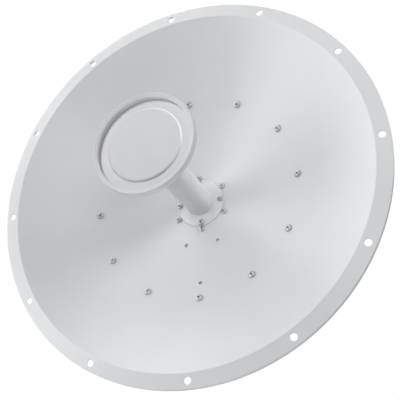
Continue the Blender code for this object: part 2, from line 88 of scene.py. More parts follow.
class ShaderGroups:
    """Shader node groups that several finishes share, each built once."""

    def __init__(self) -> None:
        """Start with no group built."""
        self._built: dict[str, bpy.types.ShaderNodeTree] = {}

    def _start(self, name: str, inputs: dict[str, float], outputs: Sequence[str]) -> bpy.types.ShaderNodeTree:
        """Open a group with a vector input, named float inputs and named float outputs.

        Args:
            name: Name of the group.
            inputs: Float inputs with their default values.
            outputs: Names of the float outputs.

        Returns:
            The group's node tree, with its input and output nodes in it.
        """
        tree = bpy.data.node_groups.new(name, "ShaderNodeTree")
        tree.interface.new_socket("Position", in_out="INPUT", socket_type="NodeSocketVector")
        for label, value in inputs.items():
            socket = tree.interface.new_socket(label, in_out="INPUT", socket_type="NodeSocketFloat")
            socket.default_value = value
        for label in outputs:
            tree.interface.new_socket(label, in_out="OUTPUT", socket_type="NodeSocketFloat")
        tree.nodes.new("NodeGroupInput").name = "in"
        tree.nodes.new("NodeGroupOutput").name = "out"
        return tree

    def grain(self) -> bpy.types.ShaderNodeTree:
        """Fine surface grain: two sizes of noise added to one height, and the coarse one as a mask.

        Returns:
            The group's tree.
        """
        if "grain" not in self._built:
            tree = self._start("surface_grain", {"Scale": 800.0, "Coarseness": 0.35}, ("Height", "Mask"))
            wiring = Wiring(tree)
            fine = wiring.noise(wiring.source("Position"), wiring.source("Scale"), detail=2.0)
            broad_scale = wiring.math("MULTIPLY", wiring.source("Scale"), 0.23)
            broad = wiring.noise(wiring.source("Position"), broad_scale, detail=1.0)
            height = wiring.blend(wiring.source("Coarseness"), fine, broad)
            wiring.sink("Height", height)
            wiring.sink("Mask", wiring.spread(broad, 0.35, 0.65))
            self._built["grain"] = tree
        return self._built["grain"]

    def clouding(self) -> bpy.types.ShaderNodeTree:
        """Slow clouding of a finish, from 0 to 1, as handling and uneven coating leave it.

        Returns:
            The group's tree.
        """
        if "clouding" not in self._built:
            tree = self._start("slow_clouding", {"Size": 0.12, "Contrast": 0.5}, ("Mask",))
            wiring = Wiring(tree)
            scale = wiring.math("DIVIDE", 1.0, wiring.source("Size"))
            noise = wiring.noise(wiring.source("Position"), scale, detail=4.0)
            low = wiring.math("MULTIPLY_ADD", wiring.source("Contrast"), -0.25, 0.5)
            high = wiring.math("MULTIPLY_ADD", wiring.source("Contrast"), 0.25, 0.5)
            wiring.sink("Mask", wiring.spread(noise, low, high))
            self._built["clouding"] = tree
        return self._built["clouding"]

    def spangle(self) -> bpy.types.ShaderNodeTree:
        """Crystals of a zinc coat: a value for each crystal, and the ridges between them.

        Returns:
            The group's tree.
        """
        if "spangle" not in self._built:
            tree = self._start("zinc_spangle", {"Size": 0.009, "Ragged": 0.3}, ("Crystal", "Ridge"))
            wiring = Wiring(tree)
            scale = wiring.math("DIVIDE", 1.0, wiring.source("Size"))
            warped = wiring.warp(wiring.source("Position"), scale, wiring.source("Ragged"),
                                 wiring.source("Size"))
            cells = wiring.voronoi(warped, scale, "F1")
            wiring.sink("Crystal", wiring.channel(cells.outputs["Color"]))
            ridges = wiring.voronoi(warped, scale, "DISTANCE_TO_EDGE")
            wiring.sink("Ridge", wiring.spread(ridges.outputs["Distance"], 0.0, 0.12))
            self._built["spangle"] = tree
        return self._built["spangle"]

    def turning(self) -> bpy.types.ShaderNodeTree:
        """Fine concentric tool marks about the dish's axis.

        Returns:
            The group's tree.
        """
        if "turning" not in self._built:
            tree = self._start("turning_marks", {"Pitch": 0.0006}, ("Height",))
            wiring = Wiring(tree)
            radius = wiring.radius_about_y(wiring.source("Position"))
            turns = wiring.math("DIVIDE", radius, wiring.source("Pitch"))
            wiring.sink("Height", wiring.noise_along(turns))
            self._built["turning"] = tree
        return self._built["turning"]


class Wiring:
    """Adds and links nodes in one shader tree."""

    def __init__(self, tree: bpy.types.ShaderNodeTree) -> None:
        """Keep the tree.

        Args:
            tree: A material's node tree or a node group.
        """
        self.tree = tree

    def node(self, kind: str, **settings: object) -> bpy.types.ShaderNode:
        """Add a node.

        Args:
            kind: The node's type name.
            **settings: Properties to set on it.

        Returns:
            The new node.
        """
        made = self.tree.nodes.new(kind)
        for name, value in settings.items():
            setattr(made, name, value)
        return made

    def feed(self, socket: bpy.types.NodeSocket, value: object) -> None:
        """Link a socket to an input, or set the input's own value.

        Args:
            socket: The input.
            value: An output socket, or a plain number or colour.
        """
        if isinstance(value, bpy.types.NodeSocket):
            self.tree.links.new(value, socket)
        else:
            socket.default_value = value

    def source(self, name: str) -> bpy.types.NodeSocket:
        """Return a named input of the group."""
        return self.tree.nodes["in"].outputs[name]

    def sink(self, name: str, value: bpy.types.NodeSocket) -> None:
        """Send a value to a named output of the group."""
        self.feed(self.tree.nodes["out"].inputs[name], value)

    def math(self, operation: str, *values: object) -> bpy.types.NodeSocket:
        """Add a Math node.

        Args:
            operation: The node's operation.
            *values: Its inputs, in order.

        Returns:
            Its output.
        """
        made = self.node("ShaderNodeMath", operation=operation)
        for socket, value in zip(made.inputs, values):
            self.feed(socket, value)
        return made.outputs[0]

    def noise(self, position: object, scale: object, detail: float) -> bpy.types.NodeSocket:
        """Add a noise and return its value.

        Args:
            position: Where the noise is read.
            scale: Its scale.
            detail: Its octaves.

        Returns:
            Its value.
        """
        made = self.node("ShaderNodeTexNoise")
        self.feed(made.inputs["Vector"], position)
        self.feed(made.inputs["Scale"], scale)
        made.inputs["Detail"].default_value = detail
        return made.outputs[0]

    def noise_along(self, distance: bpy.types.NodeSocket) -> bpy.types.NodeSocket:
        """Add a noise that changes along one distance only.

        Args:
            distance: The distance.

        Returns:
            Its value.
        """
        made = self.node("ShaderNodeTexNoise", noise_dimensions="1D")
        self.feed(made.inputs["W"], distance)
        made.inputs["Scale"].default_value = 1.0
        made.inputs["Detail"].default_value = 2.0
        return made.outputs[0]

    def voronoi(self, position: object, scale: object, feature: str) -> bpy.types.ShaderNode:
        """Add a Voronoi texture of one feature.

        Args:
            position: Where the texture is read.
            scale: Its scale.
            feature: What it measures.

        Returns:
            The node.
        """
        made = self.node("ShaderNodeTexVoronoi", feature=feature)
        self.feed(made.inputs["Vector"], position)
        self.feed(made.inputs["Scale"], scale)
        return made

    def warp(self, position: object, scale: object, share: object, size: object) -> bpy.types.NodeSocket:
        """Shift a position by a noise, up to a share of a size.

        Args:
            position: The position to shift.
            scale: Scale of the noise.
            share: Share of the size.
            size: Size of the pattern that is warped.

        Returns:
            The shifted position.
        """
        noise = self.node("ShaderNodeTexNoise")
        self.feed(noise.inputs["Vector"], position)
        self.feed(noise.inputs["Scale"], scale)
        centred = self.node("ShaderNodeVectorMath", operation="SUBTRACT")
        self.feed(centred.inputs[0], noise.outputs["Color"])
        centred.inputs[1].default_value = (0.5, 0.5, 0.5)
        reach = self.node("ShaderNodeVectorMath", operation="SCALE")
        self.feed(reach.inputs[0], centred.outputs[0])
        self.feed(reach.inputs["Scale"], self.math("MULTIPLY", share, size))
        moved = self.node("ShaderNodeVectorMath", operation="ADD")
        self.feed(moved.inputs[0], position)
        self.feed(moved.inputs[1], reach.outputs[0])
        return moved.outputs[0]

    def channel(self, colour: bpy.types.NodeSocket) -> bpy.types.NodeSocket:
        """Return the red channel of a colour.

        Args:
            colour: The colour.

        Returns:
            The channel.
        """
        made = self.node("ShaderNodeSeparateColor")
        self.feed(made.inputs[0], colour)
        return made.outputs[0]

    def radius_about_y(self, position: object) -> bpy.types.NodeSocket:
        """Return the distance of a position from the Y axis.

        Args:
            position: The position.

        Returns:
            The distance.
        """
        made = self.node("ShaderNodeSeparateXYZ")
        self.feed(made.inputs[0], position)
        squares = self.math("MULTIPLY_ADD", made.outputs[0], made.outputs[0],
                            self.math("MULTIPLY", made.outputs[2], made.outputs[2]))
        return self.math("SQRT", squares)

    def spread(self, value: object, low: object, high: object) -> bpy.types.NodeSocket:
        """Stretch the part of a value between two levels to 0 and 1, smoothly.

        Args:
            value: The value.
            low: Level that becomes 0.
            high: Level that becomes 1.

        Returns:
            The stretched value.
        """
        made = self.node("ShaderNodeMapRange", interpolation_type="SMOOTHSTEP")
        self.feed(made.inputs["Value"], value)
        self.feed(made.inputs["From Min"], low)
        self.feed(made.inputs["From Max"], high)
        return made.outputs[0]

    def between(self, mask: object, low: float, high: float) -> bpy.types.NodeSocket:
        """Return a number that a mask moves from low to high."""
        return self.math("MULTIPLY_ADD", mask, high - low, low)

    def blend(self, share: object, first: object, second: object) -> bpy.types.NodeSocket:
        """Mix two values by a share.

        Args:
            share: 0 for the first and 1 for the second.
            first: First value.
            second: Second value.

        Returns:
            The mixed value.
        """
        made = self.node("ShaderNodeMix", data_type="FLOAT")
        self.feed(made.inputs[0], share)
        self.feed(made.inputs[2], first)
        self.feed(made.inputs[3], second)
        return made.outputs[0]

    def tint(self, mask: object, dark: Sequence[float], light: Sequence[float]) -> bpy.types.NodeSocket:
        """Mix two colours by a mask.

        Args:
            mask: 0 for the dark colour and 1 for the light one.
            dark: Dark colour.
            light: Light colour.

        Returns:
            The mixed colour.
        """
        made = self.node("ShaderNodeMix", data_type="RGBA")
        self.feed(made.inputs[0], mask)
        made.inputs[6].default_value = (*dark, 1.0)
        made.inputs[7].default_value = (*light, 1.0)
        return made.outputs[2]

    def group(self, tree: bpy.types.ShaderNodeTree, **values: object) -> bpy.types.ShaderNode:
        """Place a shared group and set its inputs.

        Args:
            tree: The node tree of the group.
            **values: Its inputs by name.

        Returns:
            The group's node.
        """
        made = self.node("ShaderNodeGroup")
        made.node_tree = tree
        for name, value in values.items():
            self.feed(made.inputs[name], value)
        return made

    def bump(self, height: object, distance: float, strength: float,
             below: object = None) -> bpy.types.NodeSocket:
        """Turn a height into a normal, over another normal if there is one.

        Args:
            height: Height from 0 to 1.
            distance: Height of the bumps.
            strength: Share of the bumps that shows.
            below: Normal to add to, if there is one.

        Returns:
            The normal.
        """
        made = self.node("ShaderNodeBump")
        self.feed(made.inputs["Height"], height)
        made.inputs["Distance"].default_value = distance
        made.inputs["Strength"].default_value = strength
        if below is not None:
            self.feed(made.inputs["Normal"], below)
        return made.outputs[0]


@dataclass(frozen=True)
class Ground:
    """What a finish works on: a material's wiring, shader and coordinates, and the shared groups."""

    wiring: Wiring
    shader: bpy.types.ShaderNode
    position: bpy.types.NodeSocket
    groups: ShaderGroups


@dataclass(frozen=True)
class Finish:
    """A finish as a procedural material."""

    name: str
    slot: Slot
    dark: tuple[float, float, float]
    light: tuple[float, float, float]
    roughness: tuple[float, float]
    metallic: float = 0.0
    cloud_size: float = 0.12
    cloud_contrast: float = 0.6
    grain_scale: float = 800.0
    grain_depth: float = 0.00005
    grain_strength: float = 0.5

    def material(self, groups: ShaderGroups) -> bpy.types.Material:
        """Build the finish's material.

        Args:
            groups: The shared shader groups.

        Returns:
            The material.
        """
        made = bpy.data.materials.new(self.name)
        made.use_nodes = True
        wiring = Wiring(made.node_tree)
        shader = made.node_tree.nodes["Principled BSDF"]
        shader.inputs["Metallic"].default_value = self.metallic
        position = wiring.node("ShaderNodeTexCoord").outputs["Object"]
        self.dress(Ground(wiring, shader, position, groups))
        return made

    def cloud(self, ground: Ground) -> bpy.types.NodeSocket:
        """Return the mask of the finish's slow clouding.

        Args:
            ground: The material to work on.

        Returns:
            The mask.
        """
        made = ground.wiring.group(ground.groups.clouding(), Position=ground.position, Size=self.cloud_size,
                                   Contrast=self.cloud_contrast)
        return made.outputs["Mask"]

    def grain(self, ground: Ground, below: object = None) -> bpy.types.NodeSocket:
        """Lay the finish's grain over a normal, if there is one, and return the grain's mask.

        Args:
            ground: The material to work on.
            below: Normal to lay it over, if there is one.

        Returns:
            The mask.
        """
        made = ground.wiring.group(ground.groups.grain(), Position=ground.position, Scale=self.grain_scale)
        normal = ground.wiring.bump(made.outputs["Height"], self.grain_depth, self.grain_strength, below)
        ground.wiring.feed(ground.shader.inputs["Normal"], normal)
        return made.outputs["Mask"]

    def dress(self, ground: Ground) -> None:
        """Feed the shader: clouded colour and roughness over a fine grain.

        Args:
            ground: The material to work on.
        """
        wiring, inputs = ground.wiring, ground.shader.inputs
        cloud = self.cloud(ground)
        wiring.feed(inputs["Base Color"], wiring.tint(cloud, self.dark, self.light))
        uneven = wiring.blend(0.5, cloud, self.grain(ground))
        wiring.feed(inputs["Roughness"], wiring.between(uneven, *self.roughness))


@dataclass(frozen=True)
class SpunCoat(Finish):
    """A satin coat over spun sheet: its gloss is drawn out along the radius, across the spinning marks."""

    stretch: float = 0.8

    def dress(self, ground: Ground) -> None:
        """Turn the gloss of the plain finish along the dish's radius.

        Args:
            ground: The material to work on.
        """
        super().dress(ground)
        ground.shader.inputs["Anisotropic"].default_value = self.stretch
        radial = ground.wiring.node("ShaderNodeVectorMath", operation="MULTIPLY")
        ground.wiring.feed(radial.inputs[0], ground.position)
        radial.inputs[1].default_value = (1.0, 0.0, 1.0)
        ground.wiring.feed(ground.shader.inputs["Tangent"], radial.outputs[0])


@dataclass(frozen=True)
class TurnedFinish(Finish):
    """A metal finish with faint concentric tool marks about the dish's axis."""

    pitch: float = 0.0006
    mark_depth: float = 0.00004
    mark_strength: float = 0.4

    def dress(self, ground: Ground) -> None:
        """Add tool marks to the plain finish.

        Args:
            ground: The material to work on.
        """
        super().dress(ground)
        wiring = ground.wiring
        marks = wiring.group(ground.groups.turning(), Position=ground.position, Pitch=self.pitch)
        normal = ground.shader.inputs["Normal"]
        wiring.feed(normal, wiring.bump(marks.outputs["Height"], self.mark_depth, self.mark_strength,
                                        normal.links[0].from_socket))


@dataclass(frozen=True)
class ZincFinish(Finish):
    """A dipped zinc coat with dull crystals."""

    crystal: float = 0.009
    ridge_depth: float = 0.00003
    ridge_strength: float = 0.35

    def dress(self, ground: Ground) -> None:
        """Feed the shader: crystals in colour and roughness, ridges and grain in the surface.

        Args:
            ground: The material to work on.
        """
        wiring, inputs = ground.wiring, ground.shader.inputs
        spangle = wiring.group(ground.groups.spangle(), Position=ground.position, Size=self.crystal)
        crystal = spangle.outputs["Crystal"]
        tone = wiring.blend(0.45, self.cloud(ground), crystal)
        wiring.feed(inputs["Base Color"], wiring.tint(tone, self.dark, self.light))
        wiring.feed(inputs["Roughness"], wiring.between(crystal, *self.roughness))
        self.grain(ground, wiring.bump(spangle.outputs["Ridge"], self.ridge_depth, self.ridge_strength))


POWDER_COAT = SpunCoat("white_powder_coat", Slot.PAINT, (0.675, 0.685, 0.695), (0.705, 0.715, 0.725),
                       (0.42, 0.50), metallic=0.1, cloud_size=0.22, grain_scale=900.0, grain_depth=0.00004,
                       grain_strength=0.4)
MOULDED_PLASTIC = Finish("white_moulded_plastic", Slot.PLASTIC, (0.695, 0.700, 0.708),
                         (0.725, 0.730, 0.738), (0.34, 0.42), cloud_size=0.08, grain_scale=1500.0,
                         grain_depth=0.00002, grain_strength=0.3)
CAST_METAL = Finish("cast_aluminium", Slot.CASTING, (0.50, 0.51, 0.53), (0.64, 0.65, 0.67),
                    (0.46, 0.62), metallic=0.85, cloud_size=0.03, grain_scale=650.0,
                    grain_depth=0.00016, grain_strength=0.8)
MACHINED_METAL = TurnedFinish("machined_aluminium", Slot.CASTING, (0.58, 0.59, 0.61), (0.66, 0.67, 0.69),
                              (0.30, 0.42), metallic=0.9, cloud_size=0.05, grain_scale=1200.0,
                              grain_depth=0.00002)
STAINLESS = Finish("stainless_steel", Slot.STEEL, (0.56, 0.56, 0.57), (0.68, 0.68, 0.69),
                   (0.20, 0.34), metallic=1.0, cloud_size=0.012, grain_scale=2200.0,
                   grain_depth=0.00002, grain_strength=0.4)
SCREW_STEEL = Finish("dull_screw_steel", Slot.STEEL, (0.45, 0.45, 0.46), (0.56, 0.56, 0.57),
                     (0.34, 0.44), metallic=0.9, cloud_size=0.006, grain_scale=2600.0,
                     grain_depth=0.00002, grain_strength=0.4)
PLATED_STUD = Finish("bright_plated_stud", Slot.ZINC, (0.72, 0.73, 0.75), (0.80, 0.81, 0.83),
                     (0.36, 0.48), metallic=0.2, cloud_size=0.006, grain_scale=2000.0,
                     grain_depth=0.00002, grain_strength=0.4)
DIPPED_ZINC = ZincFinish("dipped_zinc", Slot.ZINC, (0.40, 0.41, 0.43), (0.62, 0.63, 0.66),
                         (0.34, 0.56), metallic=0.85, cloud_size=0.06, grain_scale=1100.0,
                         grain_depth=0.00004)
# A darker copy of the cup's white plastic, which paints shade on the tube, the cone and the cap so that they
# look shaded.
SHADED_FEED_PLASTIC = Finish("white_plastic_painted_shade", Slot.PLASTIC, (0.585, 0.590, 0.598), (0.615, 0.620, 0.628),
                      (0.36, 0.44), cloud_size=0.08, grain_scale=1500.0, grain_depth=0.00002,
                      grain_strength=0.3)
PTFE = Finish("white_insulator", Slot.PLASTIC, (0.82, 0.82, 0.80), (0.88, 0.88, 0.86),
              (0.40, 0.50), cloud_size=0.01, grain_scale=2500.0, grain_depth=0.00001)


class Workshop:
    """Makes meshes into finished pieces that ride on the frame."""

    def __init__(self) -> None:
        """Start with the shared groups and no material."""
        self.groups = ShaderGroups()
        self._materials: dict[str, bpy.types.Material] = {}
        self.count = 0

    def material(self, finish: Finish) -> bpy.types.Material:
        """Return a finish's material, built once.

        Args:
            finish: The finish.

        Returns:
            The material.
        """
        if finish.name not in self._materials:
            self._materials[finish.name] = finish.material(self.groups)
        return self._materials[finish.name]

    def piece(self, name: str, form: bmesh.types.BMesh, finish: Finish, stands_for: Sequence[str] = (),
              sharp: float = 32.0) -> bpy.types.Object:
        """Write a mesh to a new object, shade it, dress it and let it ride on the root body.

        Args:
            name: The piece's name.
            form: The finished mesh, in the frame of the solids. It is freed.
            finish: Its finish.
            stands_for: Solids that the piece is shown instead of.
            sharp: Edges that turn by more than this many degrees stay sharp.

        Returns:
            The new object.
        """
        mesh = as_mesh(form, name)
        mesh.shade_smooth()
        mesh.set_sharp_from_angle(angle=math.radians(sharp))
        made = bpy.data.objects.new(name, mesh)
        bpy.context.scene.collection.objects.link(made)
        mesh.materials.append(self.material(finish))
        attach(made, "root")
        if stands_for:
            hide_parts(*stands_for)
        self.count += 1
        LOG.info("%s: %d faces", name, len(mesh.polygons))
        return made


def as_mesh(form: bmesh.types.BMesh, name: str) -> bpy.types.Mesh:
    """Write a working mesh to a mesh block, and free it.

    Args:
        form: The working mesh.
        name: Name of the block.

    Returns:
        The mesh block.
    """
    block = bpy.data.meshes.new(name)
    form.to_mesh(block)
    form.free()
    return block


def rounded(form: bmesh.types.BMesh, chosen: Sequence[bmesh.types.BMEdge | bmesh.types.BMVert], reach: float,
            segments: int, affect: str = "EDGES", clamp: bool = False) -> None:
    """Round some edges or corners of a mesh.

    Args:
        form: The mesh.
        chosen: Its edges or vertices to round.
        reach: How far back the rounding starts.
        segments: Faces across it.
        affect: EDGES or VERTICES.
        clamp: Keep neighbouring roundings from overlapping.
    """
    bmesh.ops.bevel(form, geom=chosen, offset=reach, offset_type="OFFSET", segments=segments, profile=0.5,
                    affect=affect, clamp_overlap=clamp, material=-1)


def turned(profile: Profile, steps: int, rounding: int = 3) -> bmesh.types.BMesh:
    """Spin a profile about the local Z axis into a closed surface.

    Args:
        profile: Points as (radius, height, reach), where a reach over 0 rounds the corner that far back.
            A profile that doesn't start on the axis is closed into a ring.
        steps: Steps of the turn.
        rounding: Segments of each rounded corner.

    Returns:
        The surface, with its faces pointing out.
    """
    form = bmesh.new()
    corners = [form.verts.new((radius, 0.0, height)) for radius, height, _ in profile]
    pairs = list(zip(corners, corners[1:]))
    if profile[0][0] > 0.0:
        pairs.append((corners[-1], corners[0]))
    for pair in pairs:
        form.edges.new(pair)
    for reach in sorted({reach for _, _, reach in profile if reach > 0.0}):
        chosen = [corner for corner, point in zip(corners, profile) if point[2] == reach]
        rounded(form, chosen, reach, rounding, "VERTICES")
    bmesh.ops.spin(form, geom=form.verts[:] + form.edges[:], cent=(0.0, 0.0, 0.0), axis=(0.0, 0.0, 1.0),
                   angle=FULL_TURN, steps=steps, use_merge=True)
    return tidied(form)


def tidied(form: bmesh.types.BMesh) -> bmesh.types.BMesh:
    """Merge doubles and point the faces outwards.

    Args:
        form: The mesh.

    Returns:
        The same mesh.
    """
    bmesh.ops.remove_doubles(form, verts=form.verts[:], dist=MERGE)
    bmesh.ops.dissolve_degenerate(form, edges=form.edges[:], dist=MERGE)
    bmesh.ops.recalc_face_normals(form, faces=form.faces[:])
    return form


def placed(form: bmesh.types.BMesh, place: Matrix = DISH) -> bmesh.types.BMesh:
    """Move a mesh by a matrix; on its own, from the dish's frame to the frame of the solids."""
    bmesh.ops.transform(form, matrix=place, verts=form.verts[:])
    return form


def patterned(build: Callable[[], bmesh.types.BMesh], places: Places) -> bmesh.types.BMesh:
    """Repeat a small mesh at several places.

    Args:
        build: Makes the mesh about its own origin.
        places: Where each copy goes.

    Returns:
        One mesh with all the copies.
    """
    block = as_mesh(build(), "pattern")
    form = bmesh.new()
    for place in places:
        before = set(form.verts)
        form.from_mesh(block)
        added = [vertex for vertex in form.verts if vertex not in before]
        bmesh.ops.transform(form, matrix=place, verts=added)
    bpy.data.meshes.remove(block)
    return form


def joined(parts: Iterable[bmesh.types.BMesh]) -> bmesh.types.BMesh:
    """Gather several meshes in one. The parts are freed.

    Args:
        parts: The meshes.

    Returns:
        One mesh.
    """
    form = bmesh.new()
    for part in parts:
        block = as_mesh(part, "part")
        form.from_mesh(block)
        bpy.data.meshes.remove(block)
    return form


def cut_with(form: bmesh.types.BMesh, tool: bmesh.types.BMesh,
             operation: str = "DIFFERENCE") -> bmesh.types.BMesh:
    """Cut a mesh with another. Both are freed.

    Args:
        form: The mesh to cut.
        tool: Closed shapes to take away from it, or to keep it within.
        operation: DIFFERENCE or INTERSECT.

    Returns:
        The cut mesh.
    """
    objects = []
    for name, source in (("work", form), ("tool", tool)):
        holder = bpy.data.objects.new(name, as_mesh(source, name))
        bpy.context.scene.collection.objects.link(holder)
        objects.append(holder)
    step = objects[0].modifiers.new("cut", "BOOLEAN")
    step.operation = operation
    step.solver = "EXACT"
    step.object = objects[1]
    graph = bpy.context.evaluated_depsgraph_get()
    result = bmesh.new()
    result.from_mesh(objects[0].evaluated_get(graph).to_mesh())
    for holder in objects:
        block = holder.data
        bpy.data.objects.remove(holder)
        bpy.data.meshes.remove(block)
    return result


def around(radius: float, count: int, start: float = 0.0) -> list[tuple[float, float]]:
    """Places round the dish's axis, clockwise from the top, as (x, y)."""
    turns = [start + index * FULL_TURN / count for index in range(count)]
    return [(radius * math.sin(turn), radius * math.cos(turn)) for turn in turns]


def corner_places(across: float, up: float, height: float = 0.0) -> list[Matrix]:
    """Places at the four corners of a rectangle round the dish's axis."""
    return [Matrix.Translation((side * across, level * up, height)) for side in SIDES for level in SIDES]


def rearwards(places: Places) -> list[Matrix]:
    """Turn places in the dish's frame to face the rear, in the frame of the solids."""
    return [DISH @ place @ TO_REAR for place in places]


def facing(origin: Vector, direction: Vector) -> Matrix:
    """A place at a point with its Z axis along a direction."""
    return Matrix.Translation(origin) @ direction.to_track_quat("Z", "Y").to_matrix().to_4x4()


@dataclass
class Bowl:
    """The paraboloid that the front and rear pieces sit on."""

    depth: float = 0.1000
    radius: float = 0.3015
    sheet: float = 0.0020

    def slope(self, radius: float) -> float:
        """Rise of the front surface per unit of radius."""
        return 2.0 * self.depth * radius / self.radius ** 2

    def front(self, radius: float) -> float:
        """Height of the front surface at a radius."""
        return -self.depth * (1.0 - (radius / self.radius) ** 2)

    def rear(self, radius: float) -> float:
        """Height of the rear surface at a radius."""
        return self.front(radius) - self.sheet * math.hypot(1.0, self.slope(radius))

    def radii(self, start: float, end: float, count: int) -> list[float]:
        """Radii from start to end, both included."""
        return [start + (end - start) * step / (count - 1) for step in range(count)]

    def seat(self, across: float, up: float, sink: float = 0.0) -> Matrix:
        """A place on the front surface, with its Z axis along the surface's normal.

        Args:
            across: Place to the right of the axis.
            up: Place above the axis.
            sink: Depth of the place below the surface.

        Returns:
            The place, in the frame of the solids.
        """
        radius = math.hypot(across, up)
        rise = self.slope(radius)
        outward = Vector((across, up, 0.0)) / radius
        normal = (Vector((0.0, 0.0, 1.0)) - rise * outward).normalized()
        point = Vector((across, up, self.front(radius))) - sink * normal
        return DISH @ facing(point, normal)


@dataclass
class SocketScrew:
    """A button-headed screw with a hexagon socket, its head above the origin."""

    radius: float = 0.0060
    height: float = 0.0034
    socket: float = 0.0019
    depth: float = 0.0026
    steps: int = 24

    def build(self) -> bmesh.types.BMesh:
        """Model the head: a turned dome, a funnel to the hexagon, and the hexagon's pocket.

        Returns:
            The closed head, base at the origin.
        """
        crown = self.socket * 1.28
        form = bmesh.new()
        outline = [(0.0, -0.0002), (self.radius * 0.97, -0.0002), (self.radius, 0.0004)]
        for angle in (18, 36, 54, 72, 90):
            turn = math.radians(angle)
            outline.append((crown + (self.radius - crown) * math.cos(turn),
                            0.0004 + (self.height - 0.0004) * math.sin(turn)))
        points = [form.verts.new((radius, 0.0, height)) for radius, height in outline]
        edges = [form.edges.new(pair) for pair in zip(points, points[1:])]
        bmesh.ops.spin(form, geom=points + edges, cent=(0.0, 0.0, 0.0), axis=(0.0, 0.0, 1.0),
                       angle=FULL_TURN, steps=self.steps, use_merge=True)
        bmesh.ops.remove_doubles(form, verts=form.verts[:], dist=MERGE)
        mouth = [edge for edge in form.edges if edge.is_boundary]
        corners = bmesh.ops.create_circle(form, cap_ends=False, radius=self.socket / math.cos(math.pi / 6.0),
                                          segments=6)["verts"]
        for vertex in corners:
            vertex.co.z = self.height - 0.0002
        sides = list({edge for vertex in corners for edge in vertex.link_edges})
        bmesh.ops.subdivide_edges(form, edges=sides, cuts=self.steps // 6 - 1)
        loop = [edge for edge in form.edges if edge.is_wire]
        bmesh.ops.bridge_loops(form, edges=mouth + loop)
        rim = [edge for edge in form.edges if edge.is_boundary]
        wall = bmesh.ops.extrude_edge_only(form, edges=rim)["geom"]
        lower = [item for item in wall if isinstance(item, bmesh.types.BMVert)]
        bmesh.ops.translate(form, verts=lower, vec=(0.0, 0.0, -self.depth))
        bmesh.ops.holes_fill(form, edges=[edge for edge in form.edges if edge.is_boundary], sides=0)
        return tidied(form)


def slab(low: Sequence[float], high: Sequence[float], axis: str = "z",
         corner: float = 0.0) -> bmesh.types.BMesh:
    """Make a rectangular block with its edges along one axis rounded.

    Args:
        low: Lowest corner.
        high: Highest corner.
        axis: Axis of the rounded edges, x, y or z.
        corner: Their radius.

    Returns:
        The block.
    """
    form = bmesh.new()
    size = Vector(high) - Vector(low)
    middle = (Vector(high) + Vector(low)) / 2.0
    bmesh.ops.create_cube(form, size=1.0, matrix=Matrix.Translation(middle) @ Matrix.Diagonal((*size, 1.0)))
    if corner:
        along = "xyz".index(axis)
        chosen = [edge for edge in form.edges
                  if abs(edge.verts[0].co[along] - edge.verts[1].co[along]) > 0.5 * size[along]]
        rounded(form, chosen, corner, 6)
    return form


def eased(form: bmesh.types.BMesh, width: float = 0.0006, limit: float = 30.0) -> bmesh.types.BMesh:
    """Break every edge that turns by more than a limit in degrees.

    Args:
        form: The mesh.
        width: Width of the broken edges.
        limit: Least turn of an edge to be broken.

    Returns:
        The same mesh.
    """
    bmesh.ops.remove_doubles(form, verts=form.verts[:], dist=0.00001)
    bmesh.ops.dissolve_limit(form, angle_limit=math.radians(1.0), verts=form.verts[:], edges=form.edges[:])
    chosen = [edge for edge in form.edges
              if len(edge.link_faces) == 2 and edge.calc_face_angle(0.0) > math.radians(limit)]
    rounded(form, chosen, width, 2, clamp=True)
    return tidied(form)


def drill_bit(radius: float, top: float, bottom: float, flare: float = 0.0004) -> bmesh.types.BMesh:
    """Make a cutter that leaves a round hole with both mouths broken.

    Args:
        radius: Radius of the hole.
        top: Height of the upper face that it goes through.
        bottom: Height of the lower face.
        flare: Width of the broken edge.

    Returns:
        The cutter, along Z.
    """
    spare = 0.0020
    return turned([(0.0, top + spare, 0.0), (radius + flare + spare, top + spare, 0.0),
                   (radius, top - flare, 0.0), (radius, bottom + flare, 0.0),
                   (radius + flare + spare, bottom - spare, 0.0), (0.0, bottom - spare, 0.0)], 32)


def rod(radius: float, low: float, high: float, pitch: float = 0.0, start: float = 0.0) -> bmesh.types.BMesh:
    """Make a round rod along Z with thread rings over its lower part.

    Args:
        radius: Outer radius.
        low: Height of the lower end.
        high: Height of the upper end.
        pitch: Distance between thread crests, or 0 for a plain rod.
        start: Height below which the thread is cut.

    Returns:
        The rod.
    """
    chamfer = 0.0006
    profile = [(0.0, low, 0.0), (radius - chamfer, low, 0.0), (radius, low + chamfer, 0.0)]
    if pitch:
        crests = int((start - low - chamfer) / pitch)
        for crest in range(crests):
            height = low + chamfer + crest * pitch
            profile += [(radius, height + 0.15 * pitch, 0.0),
                        (radius - 0.55 * pitch, height + 0.55 * pitch, 0.0)]
        profile.append((radius, low + chamfer + crests * pitch, 0.0))
    profile += [(radius, high, 0.0), (0.0, high, 0.0)]
    return turned(profile, 24)


def hexagon(corner: float, low: float, high: float, chamfer_low: bool = False) -> bmesh.types.BMesh:
    """Make a hexagonal head or nut along Z with its corners turned off.

    Args:
        corner: Radius to the corners.
        low: Height of the lower face.
        high: Height of the upper face.
        chamfer_low: Turn the lower corners off as well.

    Returns:
        The head.
    """
    form = bmesh.new()
    bmesh.ops.create_cone(form, cap_ends=True, segments=6, radius1=corner, radius2=corner, depth=high - low,
                          matrix=Matrix.Translation((0.0, 0.0, (high + low) / 2.0)))
    flat = corner * math.cos(math.pi / 6.0) * 0.97
    drop = (corner - flat) * 0.58
    spare = 0.001
    deep = drop + 0.58 * spare
    limit = [(0.0, high, 0.0), (flat, high, 0.0), (corner + spare, high - deep, 0.0)]
    if chamfer_low:
        limit += [(corner + spare, low + deep, 0.0), (flat, low, 0.0), (0.0, low, 0.0)]
    else:
        limit += [(corner + spare, low - spare, 0.0), (0.0, low - spare, 0.0)]
    return cut_with(form, turned(limit, 48), "INTERSECT")


